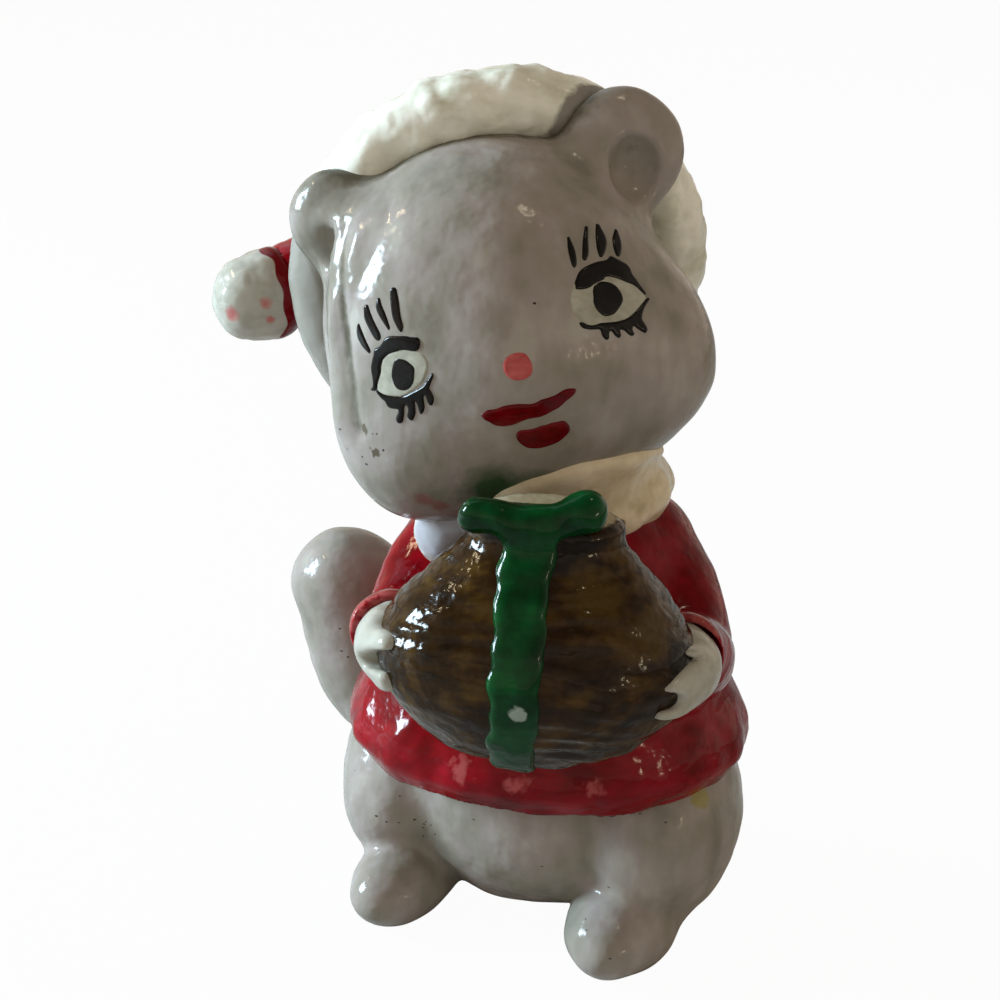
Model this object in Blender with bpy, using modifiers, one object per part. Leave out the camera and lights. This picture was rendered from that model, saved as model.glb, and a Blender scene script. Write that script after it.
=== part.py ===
"""Seated mouse figurine in slip-cast, hand-painted ceramic.

The mouse sits upright in a red jacket and a drooping winter hat and holds a nut-shaped gift tied with
green ribbon. Hollow castings for the seat, the jacket and the head are luted together with slip. The
limbs, ears, tail, hat and gift are pressed on to them the same way, so nothing moves.

Metres, degrees, +Z up. The mouse looks along -Y and its left side is at +X. The origin is in the flat
foot under the rump, in front of the pour hole.
"""
import math

import bmesh
import bpy
from mathutils import Euler, Matrix, Vector

# Joints and walls
SLIP_JOINT = 0.0003         # gap left between two pieces that are luted together
CAST_WALL = 0.0034          # wall of the hollow castings
POUR_HOLE_RADIUS = 0.0032   # hole in the foot through which the slip was poured out
POUR_HOLE_SETBACK = 0.0074
NECK_HOLE_RADIUS = 0.0045   # way between the hollows of the jacket and the head
WAIST_HOLE_RADIUS = 0.0090  # way between the hollows of the seat and the jacket
ENAMEL_FILM = 0.0004        # thickness of the brushed face marks

# Seat: the belly, turned to the mouse's right, with haunches and feet on its sides
SEAT_YAW = -17.0
SEAT_OFFSET = 0.0007
SEAT_SETBACK = 0.0025
BELLY_RADIUS_X = 0.0180
BELLY_RADIUS_Y = 0.0165
BELLY_RADIUS_Z = 0.0148
BELLY_HEIGHT = 0.0149
RUMP_RADIUS_X = 0.0130
RUMP_RADIUS_Y = 0.0110
RUMP_RADIUS_Z = 0.0115
RUMP_HEIGHT = 0.0095
RUMP_SETBACK = 0.0065
BODY_SETBACK = 0.0049       # of the origin, in front of the pour hole, from the jacket's axis
SEAT_RIM_HEIGHT = 0.0220
HAUNCH_RADIUS_X = 0.0100
HAUNCH_RADIUS_Y = 0.0145
HAUNCH_RADIUS_Z = 0.0130
HAUNCH_SPREAD = 0.0138
HAUNCH_REACH = 0.0008
HAUNCH_HEIGHT = 0.0137
FOOT_RADIUS_X = 0.0052
FOOT_RADIUS_Y = 0.0090
FOOT_RADIUS_Z = 0.0050
FOOT_HEIGHT = 0.0042
FOOT_SPREAD = 0.0128
FOOT_REACH = 0.0118
FOOT_SPLAY = 8.0

# Tail: a thick lobe that curls up behind the mouse's right side
TAIL_ROOT_RADIUS = 0.0058
TAIL_RADIUS = 0.0070
TAIL_SWING = 0.0255
TAIL_SETBACK = 0.0185
TAIL_RISE = 0.0312

# Jacket
JACKET_OFFSET = 0.0005
JACKET_DEPTH_SHARE = 0.88   # front-to-back size as a share of the width
HEM_RADIUS = 0.0233
HEM_HEIGHT = 0.0245
HEM_BOTTOM = 0.0210
HEM_LIP = 0.0030
WAIST_RADIUS = 0.0203
WAIST_HEIGHT = 0.0315
CHEST_RADIUS = 0.0178
CHEST_HEIGHT = 0.0400
SHOULDER_RADIUS = 0.0140
SHOULDER_HEIGHT = 0.0478
NECK_RADIUS = 0.0098
NECK_LENGTH = 0.0082
NECK_TOP = SHOULDER_HEIGHT + NECK_LENGTH
COLLAR_RADIUS_X = 0.0096
COLLAR_RADIUS_Y = 0.0098
COLLAR_THICKNESS = 0.0036
COLLAR_DROP = 0.0030
COLLAR_HEIGHT = NECK_TOP - COLLAR_DROP

# Arms
SLEEVE_RADIUS = 0.0050
CUFF_RADIUS = 0.0051
ELBOW_SPREAD = 0.0153
ELBOW_REACH = 0.0100
ELBOW_SHARE = 0.35          # of the way up from the jacket's waist to its shoulder
ELBOW_HEIGHT = WAIST_HEIGHT + ELBOW_SHARE * (SHOULDER_HEIGHT - WAIST_HEIGHT)
WRIST_INSET = 0.0012        # from the gift's side
WRIST_SETBACK = 0.0045      # behind the gift's middle
PAW_RADIUS = 0.0043
PAW_LENGTH = 0.0052
PAW_HEIGHT = 0.0118         # over the gift's lowest point
FINGER_RADIUS = 0.0016
FINGER_PITCH = 0.0027
FINGER_WRAP = 32.0          # how far the fingers reach round the gift, from its side

# Gift
GIFT_RADIUS = 0.0165
GIFT_DEPTH_SHARE = 0.70
GIFT_DROP = 0.0160
GIFT_BASE = SHOULDER_HEIGHT - GIFT_DROP
GIFT_HEIGHT = 0.0272
GIFT_TOP_RADIUS = 0.0075
GIFT_REACH = 0.0255
GIFT_OFFSET = -0.0006
GIFT_LEAN = 1.0
RIBBON_WIDTH = 0.0048
RIBBON_OFFSET = -0.0014
RIBBON_LEAN = 1.4
RIBBON_THICKNESS = 0.0008
RIBBON_END = 0.0012         # over the gift's lowest point
BOW_REACH = 0.0070
BOW_RADIUS = 0.0020

# Head
HEAD_OFFSET = -0.0068
HEAD_FORWARD = 0.0030
HEAD_RISE = 0.0154
HEAD_HEIGHT = NECK_TOP + HEAD_RISE
HEAD_PITCH = -7.0
HEAD_ROLL = -23.0
HEAD_YAW = 8.0
HEAD_RADIUS_X = 0.0186
HEAD_RADIUS_Y = 0.0182
HEAD_RADIUS_Z = 0.0205
# Each swelling of the head is its yaw and pitch, its height and the angle that it spreads over.
CHEEK = (70.0, -30.0, 0.0046, 27.0)
MUZZLE = (0.0, -12.0, 0.0012, 20.0)
EAR_RADIUS_RIGHT = 0.0052
EAR_RADIUS_LEFT = 0.0066
EAR_LIFT_RIGHT = 0.0008     # from the head's surface to the middle of the ear
EAR_LIFT_LEFT = 0.0032
EAR_SPREAD_RIGHT = 36.0     # from the top of the head
EAR_SPREAD_LEFT = 56.0
EAR_SETBACK = -0.0012
EAR_THICKNESS = 0.0056
EAR_DISH_DEPTH = 0.0018
EAR_RIM = 0.0020

# Hat
BRIM_OFFSET = 0.0018
BRIM_SETBACK = 0.0070
BRIM_RISE = 0.0045
BRIM_TILT = 20.5
BRIM_WIDE = 0.0005          # of the middle of the brim, beyond the head's own width
BRIM_LOW = 0.0013           # and short of its height
BRIM_RADIUS_X = HEAD_RADIUS_X + BRIM_WIDE
BRIM_RADIUS_Z = HEAD_RADIUS_Z - BRIM_LOW
BRIM_THICKNESS = 0.0041
CROWN_DEPTH = 0.0150
TIP_RADIUS = 0.0052
TIP_REACH = 0.0040
# The hat's cone, from the back of the head to the tip: place and radius as shares of the brim's radius
CONE_SHARES = (
    (0.00, 0.84, 0.37, 0.58),
    (-0.37, 1.05, 0.42, 0.47),
    (-0.74, 1.08, 0.46, 0.36),
    (-1.155, 0.905, 0.52, 0.255),
)

# Face marks: where they are, in degrees from straight ahead, and their sizes
EYE_YAW_RIGHT = 35.0
EYE_YAW_LEFT = 37.0
EYE_PITCH_RIGHT = 2.7
EYE_PITCH_LEFT = 1.8
LASH_LEAN_RIGHT = 0.0       # outwards, on top of their fan
LASH_LEAN_LEFT = 18.0
IRIS_WIDTH = 0.0027
IRIS_HEIGHT = 0.0035
NOSE_PITCH = -5.0
NOSE_RADIUS = 0.0015
MOUTH_PITCH = -18.8
LOWER_LIP_PITCH = -30.5
LASH_WIDTH = 0.0007
LASH_LENGTH = 0.0036
FACE_UNIT = HEAD_RADIUS_X / 18.6    # the unit of the brush strokes' points, which grow with the head
EYE_WIDTH = 6.6 * FACE_UNIT
EYE_HEIGHT = 4.8 * FACE_UNIT

# Facets
BALL_SEGMENTS = 24
BALL_RINGS = 14
LIMB_SIDES = 10
EYE_SIDES = 18


def clear_scene():
    """Removes whatever the scene holds."""
    for obj in list(bpy.data.objects):
        bpy.data.objects.remove(obj)


def linked_collection(name):
    """A new collection in the scene."""
    collection = bpy.data.collections.new(name)
    bpy.context.scene.collection.children.link(collection)
    return collection


clear_scene()
FIGURINE = linked_collection("mouse_figurine")
CUTTERS = linked_collection("cutters")


def glaze(name, colour, roughness):
    """Glazed, painted ceramic."""
    material = bpy.data.materials.new(name)
    material.use_nodes = True
    shader = material.node_tree.nodes["Principled BSDF"]
    shader.inputs["Base Color"].default_value = (*colour, 1.0)
    shader.inputs["Roughness"].default_value = roughness
    shader.inputs["Metallic"].default_value = 0.0
    material.diffuse_color = (*colour, 1.0)
    return material


# Linear colour and roughness of each finish
FUR = ((0.36, 0.33, 0.30), 0.18)
WHITE = ((0.62, 0.59, 0.52), 0.20)
RED = ((0.36, 0.010, 0.018), 0.16)
GREEN = ((0.004, 0.075, 0.025), 0.16)
BROWN = ((0.075, 0.048, 0.028), 0.20)
BLACK = ((0.010, 0.008, 0.007), 0.25)
PINK = ((0.62, 0.13, 0.13), 0.30)
LIP_RED = ((0.33, 0.008, 0.016), 0.22)

SIDES = (("right", -1), ("left", 1))


def radians(turn):
    """An Euler rotation from degrees about X, Y and Z."""
    return Euler([math.radians(a) for a in turn])


def frame(name, location, turn=(0, 0, 0), parent=None):
    """An empty that carries the pieces of one part of the body."""
    empty = bpy.data.objects.new(name, None)
    empty.location = location
    empty.rotation_euler = radians(turn)
    empty.parent = parent
    FIGURINE.objects.link(empty)
    return empty


BODY_FRAME = frame("body_frame", (0, -BODY_SETBACK, 0))
SEAT_FRAME = frame("seat_frame", (SEAT_OFFSET, SEAT_SETBACK, 0), (0, 0, SEAT_YAW), BODY_FRAME)
GIFT_FRAME = frame("gift_frame", (GIFT_OFFSET, -GIFT_REACH, GIFT_BASE), (0, GIFT_LEAN, 0), BODY_FRAME)
HEAD_PLACE = (HEAD_OFFSET, -HEAD_FORWARD, HEAD_HEIGHT)
HEAD_FRAME = frame("head_frame", HEAD_PLACE, (HEAD_PITCH, HEAD_ROLL, HEAD_YAW), BODY_FRAME)
HAT_FRAME = frame("hat_frame", (BRIM_OFFSET, BRIM_SETBACK, BRIM_RISE), (BRIM_TILT, 0, 0), HEAD_FRAME)


def piece(name, mesh, finish, location=(0, 0, 0), turn=(0, 0, 0), parent=BODY_FRAME):
    """A named piece of the figurine, placed in its parent's frame."""
    mesh.shade_smooth()
    mesh.materials.clear()
    mesh.materials.append(glaze(name, *finish))
    obj = bpy.data.objects.new(name, mesh)
    obj.location = location
    obj.rotation_euler = radians(turn)
    obj.parent = parent
    FIGURINE.objects.link(obj)
    return obj


def cutter(name, mesh, location=(0, 0, 0), turn=(0, 0, 0), parent=BODY_FRAME):
    """A helper that shapes the pieces and isn't one."""
    obj = bpy.data.objects.new(name, mesh)
    obj.location = location
    obj.rotation_euler = radians(turn)
    obj.parent = parent
    obj.hide_render = True
    obj.display_type = "WIRE"
    CUTTERS.objects.link(obj)
    return obj


def ball_mesh(radii, segments=BALL_SEGMENTS, rings=BALL_RINGS):
    """An ellipsoid about the origin."""
    mesh = bpy.data.meshes.new("ball")
    bm = bmesh.new()
    bmesh.ops.create_uvsphere(bm, u_segments=segments, v_segments=rings, radius=1.0)
    bm.transform(Matrix.Diagonal((*radii, 1.0)))
    bm.to_mesh(mesh)
    bm.free()
    return mesh


def evaluated_mesh(obj):
    """The welded mesh that an object's curve or modifiers make. The object itself is removed."""
    graph = bpy.context.evaluated_depsgraph_get()
    mesh = bpy.data.meshes.new_from_object(obj.evaluated_get(graph))
    bm = bmesh.new()
    bm.from_mesh(mesh)
    bmesh.ops.remove_doubles(bm, verts=bm.verts, dist=1e-6)
    bm.to_mesh(mesh)
    bm.free()
    bpy.data.objects.remove(obj)
    return mesh


def turned_mesh(profile, steps=BALL_SEGMENTS, squash=1.0):
    """A profile of (radius, height) points, from its top down its outer side, turned about Z."""
    mesh = bpy.data.meshes.new("profile")
    mesh.from_pydata([(r, 0, z) for r, z in profile], [(i, i + 1) for i in range(len(profile) - 1)], [])
    obj = bpy.data.objects.new("profile", mesh)
    CUTTERS.objects.link(obj)
    screw = obj.modifiers.new("turn", "SCREW")
    screw.steps = screw.render_steps = steps
    screw.use_merge_vertices = True
    screw.merge_threshold = 1e-5
    turned = evaluated_mesh(obj)
    turned.transform(Matrix.Diagonal((1, squash, 1, 1)))
    return turned


def smooth_line(points, steps):
    """Points on the Catmull-Rom curve through the given ones, which may carry a radius as a fourth number."""
    points = [Vector(p) for p in points]
    ends = [2 * points[0] - points[1], *points, 2 * points[-1] - points[-2]]
    line = []
    for a, b, c, d in zip(ends, ends[1:], ends[2:], ends[3:]):
        for t in (i / steps for i in range(steps)):
            bend = (2 * a - 5 * b + 4 * c - d) * t**2 + (3 * b - a - 3 * c + d) * t**3
            line.append(0.5 * (2 * b + (c - a) * t + bend))
    return [*line, points[-1]]


def round_end(tip, before):
    """Points that close a limb beyond its tip in a quarter circle of its own radius."""
    along = (tip.xyz - before.xyz).normalized()
    angles = [math.radians(a) for a in (25, 50, 72)]
    return [Vector((*(tip.xyz + along * tip.w * math.sin(a)), tip.w * math.cos(a))) for a in angles]


def limb_mesh(points, steps=4, round_start=True, round_finish=True, sides=LIMB_SIDES):
    """A tube along a smooth line of (x, y, z, radius) points, with round or flat ends."""
    line = smooth_line(points, steps)
    start = list(reversed(round_end(line[0], line[1]))) if round_start else []
    finish = round_end(line[-1], line[-2]) if round_finish else []
    line = start + line + finish
    curve = bpy.data.curves.new("limb", "CURVE")
    curve.dimensions = "3D"
    curve.bevel_depth = 1.0
    curve.bevel_resolution = sides // 2 - 2
    curve.use_fill_caps = True
    spline = curve.splines.new("POLY")
    spline.points.add(len(line) - 1)
    for point, place in zip(spline.points, line):
        point.co = (*place.xyz, 1)
        point.radius = place.w
    obj = bpy.data.objects.new("limb", curve)
    CUTTERS.objects.link(obj)
    return evaluated_mesh(obj)


def ring_mesh(radius_x, radius_y, tube, segments, sides):
    """An oval ring about Z."""
    bpy.ops.mesh.primitive_torus_add(
        major_segments=segments, minor_segments=sides, major_radius=radius_x, minor_radius=tube
    )
    obj = bpy.context.object
    mesh = obj.data
    for vertex in mesh.vertices:
        around = math.atan2(vertex.co.y, vertex.co.x)
        vertex.co.y += (radius_y - radius_x) * math.sin(around)
    bpy.data.objects.remove(obj)
    return mesh


def grown(obj, amount):
    """A cutter of the same form as a piece, larger all round by this amount."""
    name = f"{obj.name}_grown_{amount * 1e6:.0f}"
    if name not in CUTTERS.objects:
        bm = bmesh.new()
        bm.from_mesh(obj.data)
        bm.normal_update()
        moves = [(vertex, vertex.normal * amount) for vertex in bm.verts]
        for vertex, move in moves:
            vertex.co += move
        mesh = bpy.data.meshes.new(name)
        bm.to_mesh(mesh)
        bm.free()
        copy = cutter(name, mesh, obj.location, parent=obj.parent)
        copy.rotation_euler = obj.rotation_euler
    return CUTTERS.objects[name]


def boolean(obj, other, operation="DIFFERENCE", solver="EXACT"):
    """Cuts an object with another, or joins the other to it."""
    modifier = obj.modifiers.new(f"{operation.lower()}_{other.name}", "BOOLEAN")
    modifier.operation = operation
    modifier.object = other
    modifier.solver = solver


def clear_of(obj, *neighbours, solver="EXACT"):
    """Cuts a piece back from its neighbours' forms, so that the slip joint stays between them."""
    for neighbour in neighbours:
        boolean(obj, grown(neighbour, SLIP_JOINT), solver=solver)


def block(name, low, high, parent=BODY_FRAME):
    """A box cutter between two corners."""
    bm = bmesh.new()
    bmesh.ops.create_cube(bm, size=1.0)
    for vertex in bm.verts:
        vertex.co = Vector(a + (c + 0.5) * (b - a) for c, a, b in zip(vertex.co, low, high))
    mesh = bpy.data.meshes.new(name)
    bm.to_mesh(mesh)
    bm.free()
    return cutter(name, mesh, parent=parent)


def rod(name, radius, place, low, high, parent=BODY_FRAME):
    """An upright cylinder cutter at (x, y), between two heights."""
    bm = bmesh.new()
    bmesh.ops.create_cone(bm, cap_ends=True, segments=20, radius1=radius, radius2=radius, depth=high - low)
    mesh = bpy.data.meshes.new(name)
    bm.to_mesh(mesh)
    bm.free()
    return cutter(name, mesh, (*place, (low + high) / 2), parent=parent)


FAR = 0.2
TABLE = block("table", (-FAR, -FAR, -FAR), (FAR, FAR, 0))


def swelling(name, radii, place, segments):
    """An ellipsoid in the seat's frame that is joined to another."""
    return cutter(name, ball_mesh(radii, segments), place, parent=SEAT_FRAME)


def make_seat(jacket):
    """The hollow belly and rump, a cup with a flat foot and a pour hole. Returns the outer forms of both."""
    belly_radii = (BELLY_RADIUS_X, BELLY_RADIUS_Y, BELLY_RADIUS_Z)
    rump_radii = (RUMP_RADIUS_X, RUMP_RADIUS_Y, RUMP_RADIUS_Z)
    belly_place, rump_place = (0, 0, BELLY_HEIGHT), (0, RUMP_SETBACK, RUMP_HEIGHT)
    belly = piece("seat_casting", ball_mesh(belly_radii), FUR, belly_place, parent=SEAT_FRAME)
    rump = swelling("rump", rump_radii, rump_place, BALL_SEGMENTS)
    boolean(belly, rump, "UNION")
    hollow = swelling("belly_hollow", [r - CAST_WALL for r in belly_radii], belly_place, 18)
    rump_hollow = swelling("rump_hollow", [r - CAST_WALL for r in rump_radii], rump_place, 18)
    boolean(hollow, rump_hollow, "UNION")
    boolean(hollow, block("above_foot", (-FAR, -FAR, CAST_WALL), (FAR, FAR, FAR)), "INTERSECT")
    boolean(belly, TABLE)
    boolean(belly, block("above_rim", (-FAR, -FAR, SEAT_RIM_HEIGHT), (FAR, FAR, FAR)))
    clear_of(belly, jacket)
    boolean(belly, hollow)
    hole = (0, POUR_HOLE_SETBACK)
    boolean(belly, rod("pour_hole", POUR_HOLE_RADIUS, hole, -CAST_WALL, 2 * CAST_WALL, SEAT_FRAME))
    return belly, rump


def make_haunch(side, sign, seat, jacket):
    """A haunch on one side of the belly, tucked under the jacket's hem."""
    haunch = piece(
        f"haunch_{side}",
        ball_mesh((HAUNCH_RADIUS_X, HAUNCH_RADIUS_Y, HAUNCH_RADIUS_Z), 22, 14),
        FUR,
        location=(sign * HAUNCH_SPREAD, -HAUNCH_REACH, HAUNCH_HEIGHT),
        turn=(0, 0, sign * FOOT_SPLAY),
        parent=SEAT_FRAME,
    )
    boolean(haunch, TABLE)
    clear_of(haunch, *seat, jacket)
    return haunch


def make_foot(side, sign, seat, haunch):
    """A foot in front of its haunch."""
    foot = piece(
        f"foot_{side}",
        ball_mesh((FOOT_RADIUS_X, FOOT_RADIUS_Y, FOOT_RADIUS_Z), 18, 12),
        FUR,
        location=(sign * FOOT_SPREAD, -FOOT_REACH, FOOT_HEIGHT),
        turn=(0, 0, sign * FOOT_SPLAY),
        parent=SEAT_FRAME,
    )
    boolean(foot, TABLE)
    clear_of(foot, *seat, haunch)
    return foot


def make_tail(seat, haunch, jacket):
    """The tail, from behind the seat round to the mouse's right."""
    path = [
        (0.0, 0.62 * TAIL_SETBACK, TAIL_ROOT_RADIUS * 1.3, TAIL_ROOT_RADIUS),
        (-0.40 * TAIL_SWING, TAIL_SETBACK, 0.36 * TAIL_RISE, TAIL_ROOT_RADIUS),
        (-0.82 * TAIL_SWING, 1.06 * TAIL_SETBACK, 0.58 * TAIL_RISE, TAIL_RADIUS * 1.06),
        (-TAIL_SWING, TAIL_SETBACK, TAIL_RISE, TAIL_RADIUS),
    ]
    tail = piece("tail", limb_mesh(path), FUR)
    clear_of(tail, *seat, haunch, jacket)
    return tail


def jacket_profile():
    """Radius and height down the jacket's outer side, from the neck to the underside of the hem."""
    outline = [
        (NECK_RADIUS, NECK_TOP),
        (NECK_RADIUS * 1.08, (NECK_TOP + SHOULDER_HEIGHT) / 2),
        (SHOULDER_RADIUS, SHOULDER_HEIGHT),
        (CHEST_RADIUS, CHEST_HEIGHT),
        (WAIST_RADIUS, WAIST_HEIGHT),
        (HEM_RADIUS, HEM_HEIGHT),
        (HEM_RADIUS - HEM_LIP / 2, HEM_BOTTOM),
    ]
    line = smooth_line([(r, 0, z) for r, z in outline], 2)
    underside = SEAT_RIM_HEIGHT + SLIP_JOINT
    inside = [(HEM_RADIUS - HEM_LIP, HEM_BOTTOM), (HEM_RADIUS - 1.5 * HEM_LIP, underside), (0, underside)]
    return [(0, NECK_TOP), *((p.x, p.z) for p in line), *inside]


def jacket_hollow():
    """The space inside the jacket."""
    floor = SEAT_RIM_HEIGHT + SLIP_JOINT + CAST_WALL
    outline = [
        (0, NECK_TOP - CAST_WALL),
        (NECK_RADIUS - CAST_WALL, NECK_TOP - CAST_WALL),
        (SHOULDER_RADIUS - CAST_WALL, SHOULDER_HEIGHT - CAST_WALL),
        (CHEST_RADIUS - CAST_WALL, CHEST_HEIGHT),
        (WAIST_RADIUS - CAST_WALL, WAIST_HEIGHT),
        (WAIST_RADIUS - CAST_WALL, floor),
        (0, floor),
    ]
    return cutter("jacket_hollow", turned_mesh(outline, 20, JACKET_DEPTH_SHARE), (JACKET_OFFSET, 0, 0))


def make_jacket(head):
    """The hollow jacket. Its neck is shaped to the underside of the head."""
    shell = turned_mesh(jacket_profile(), squash=JACKET_DEPTH_SHARE)
    jacket = piece("jacket", shell, RED, (JACKET_OFFSET, 0, 0))
    clear_of(jacket, head, solver="MANIFOLD")
    boolean(jacket, jacket_hollow())
    top = SEAT_RIM_HEIGHT + 2 * CAST_WALL
    boolean(jacket, rod("waist_hole", WAIST_HOLE_RADIUS, (0, 0), 0, top, SEAT_FRAME))
    return jacket


def make_collar(jacket, head):
    """The collar's fur ring round the neck."""
    collar = piece(
        "collar",
        ring_mesh(COLLAR_RADIUS_X, COLLAR_RADIUS_Y, COLLAR_THICKNESS, 24, 8),
        WHITE,
        location=(0, 0, COLLAR_HEIGHT),
    )
    clear_of(collar, jacket, head)
    return collar


def make_sleeve(side, sign, jacket, collar, gift):
    """A sleeve from the shoulder round the gift's side to the wrist."""
    beside = Vector((sign * (GIFT_RADIUS - WRIST_INSET), WRIST_SETBACK, PAW_HEIGHT))
    wrist = GIFT_FRAME.location + beside
    upper_arm, forearm = (SHOULDER_HEIGHT + ELBOW_HEIGHT) / 2, (ELBOW_HEIGHT + wrist.z) / 2
    spread = sign * ELBOW_SPREAD
    path = [
        (sign * SHOULDER_RADIUS * 0.8, 0, SHOULDER_HEIGHT - SLEEVE_RADIUS / 2, SLEEVE_RADIUS),
        (spread * 0.93, -0.4 * ELBOW_REACH, upper_arm - 0.3 * SLEEVE_RADIUS, SLEEVE_RADIUS),
        (spread, -ELBOW_REACH, ELBOW_HEIGHT, SLEEVE_RADIUS),
        (spread, -1.6 * ELBOW_REACH, forearm - 0.16 * SLEEVE_RADIUS, SLEEVE_RADIUS * 0.96),
        (*wrist, CUFF_RADIUS),
    ]
    sleeve = piece(f"sleeve_{side}", limb_mesh(path, round_finish=False), RED)
    clear_of(sleeve, jacket, collar, gift, solver="MANIFOLD")
    return sleeve


def gift_radius(height):
    """The gift's half width at a height over its lowest point."""
    line = gift_profile()
    for (r, z), (lower_r, lower_z) in zip(line, line[1:]):
        if lower_z <= height <= z:
            return lower_r + (r - lower_r) * (height - lower_z) / max(z - lower_z, 1e-6)
    return 0.0


def make_paw(side, sign, sleeve, gift):
    """A paw on the side of the gift, with three fingers round to its front."""
    palm = ball_mesh((PAW_RADIUS, PAW_LENGTH, PAW_RADIUS), 16, 10)
    beside = (sign * (GIFT_RADIUS - 0.2 * PAW_RADIUS), 0.2 * PAW_LENGTH, PAW_HEIGHT)
    paw = piece(f"paw_{side}", palm, WHITE, beside, parent=GIFT_FRAME)
    for i in (-1, 0, 1):
        height = PAW_HEIGHT + i * FINGER_PITCH
        out = gift_radius(height) + 0.4 * FINGER_RADIUS
        path = []
        for share in (0, 0.5, 1):
            angle = math.radians(FINGER_WRAP * share)
            place = (sign * out * math.cos(angle), -out * GIFT_DEPTH_SHARE * math.sin(angle), height)
            path.append((*place, FINGER_RADIUS))
        finger = cutter(f"finger_{side}_{i + 2}", limb_mesh(path, 2, sides=8), parent=GIFT_FRAME)
        boolean(paw, finger, "UNION")
    clear_of(paw, sleeve, gift)
    return paw


def gift_profile(outer=0.0):
    """Radius and height of the gift, from its top down its outer side."""
    outline = [
        (GIFT_TOP_RADIUS * 0.60, 1.0),
        (GIFT_TOP_RADIUS, 0.955),
        (GIFT_TOP_RADIUS * 1.10, 0.86),
        (GIFT_RADIUS * 0.80, 0.66),
        (GIFT_RADIUS, 0.45),
        (GIFT_RADIUS * 0.93, 0.27),
        (GIFT_RADIUS * 0.66, 0.09),
        (GIFT_RADIUS * 0.30, 0.01),
    ]
    line = smooth_line([(r, 0, z * GIFT_HEIGHT) for r, z in outline], 2)
    sides = [(p.x + outer, p.z + outer * (2 * p.z / GIFT_HEIGHT - 1)) for p in line]
    return [(0, GIFT_HEIGHT + outer), *sides, (0, -outer)]


def make_gift(jacket):
    """The nut-shaped gift, pressed against the jacket."""
    gift = piece("gift", turned_mesh(gift_profile(), 26, GIFT_DEPTH_SHARE), BROWN, parent=GIFT_FRAME)
    clear_of(gift, jacket)
    return gift


def make_ribbon(gift):
    """The ribbon up the front of the gift. It is a slice of the gift's own form, made larger."""
    lift = RIBBON_THICKNESS + SLIP_JOINT
    slab = cutter("ribbon_slab", turned_mesh(gift_profile(lift), 28, GIFT_DEPTH_SHARE), parent=GIFT_FRAME)
    half = RIBBON_WIDTH / 2
    knot_height = GIFT_HEIGHT * 0.94
    strip = block("ribbon_strip", (-half, -FAR, RIBBON_END - knot_height), (half, 0, 0), parent=GIFT_FRAME)
    strip.location = (RIBBON_OFFSET, 0, knot_height)
    strip.rotation_euler = radians((0, RIBBON_LEAN, 0))
    boolean(slab, strip, "INTERSECT")
    boolean(slab, grown(gift, SLIP_JOINT))
    bpy.context.view_layer.update()
    return piece("ribbon_band", evaluated_mesh(slab), GREEN, parent=GIFT_FRAME)


def make_bow(gift, ribbon, head):
    """The two loops of the bow, along the gift's top edge."""
    front = -GIFT_TOP_RADIUS * GIFT_DEPTH_SHARE
    knot = BOW_RADIUS + SLIP_JOINT / 2
    for side, sign in SIDES:
        path = [
            (sign * knot, front * 1.16, GIFT_HEIGHT * 0.96, BOW_RADIUS),
            (sign * (knot + BOW_REACH) / 2, front * 1.16, GIFT_HEIGHT * 0.99, BOW_RADIUS),
            (sign * BOW_REACH, front * 0.95, GIFT_HEIGHT * 1.03, BOW_RADIUS * 1.15),
        ]
        loop = piece(f"bow_{side}", limb_mesh(path, 3), GREEN, (RIBBON_OFFSET, 0, 0), parent=GIFT_FRAME)
        clear_of(loop, gift, ribbon, head, solver="MANIFOLD")


def direction(yaw, pitch):
    """A unit vector from the head's centre. Yaw 0 is straight ahead, along -Y, and turns towards +X."""
    yaw, pitch = math.radians(yaw), math.radians(pitch)
    return Vector((math.sin(yaw) * math.cos(pitch), -math.cos(yaw) * math.cos(pitch), math.sin(pitch)))


def head_point(way, lift=0.0):
    """The point at this height over the head's surface, in a direction from its centre."""
    reach = 1 / Vector((way.x / HEAD_RADIUS_X, way.y / HEAD_RADIUS_Y, way.z / HEAD_RADIUS_Z)).length
    yaw, *cheek = CHEEK
    for side_yaw, pitch, height, spread in ((yaw, *cheek), (-yaw, *cheek), MUZZLE):
        apart = way.angle(direction(side_yaw, pitch)) / math.radians(spread)
        reach += height * math.exp(-(apart**2))
    return way * (reach + lift)


def make_head():
    """The hollow head, an egg with cheeks and a muzzle."""
    mesh = ball_mesh((1, 1, 1), 28, 20)
    for vertex in mesh.vertices:
        vertex.co = head_point(vertex.co.normalized())
    head = piece("head", mesh, FUR, parent=HEAD_FRAME)
    hollow = ball_mesh([r - CAST_WALL for r in (HEAD_RADIUS_X, HEAD_RADIUS_Y, HEAD_RADIUS_Z)], 18, 12)
    boolean(head, cutter("head_hollow", hollow, parent=HEAD_FRAME))
    return head


def make_neck_hole(jacket, head):
    """The way between the hollows of the jacket and the head."""
    middle = (HEAD_OFFSET / 2, -HEAD_FORWARD / 2)
    low = NECK_TOP - 2.5 * CAST_WALL
    high = HEAD_HEIGHT - HEAD_RADIUS_Z + 2 * CAST_WALL
    hole = rod("neck_hole", NECK_HOLE_RADIUS, middle, low, high)
    boolean(jacket, hole)
    boolean(head, hole)


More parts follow.
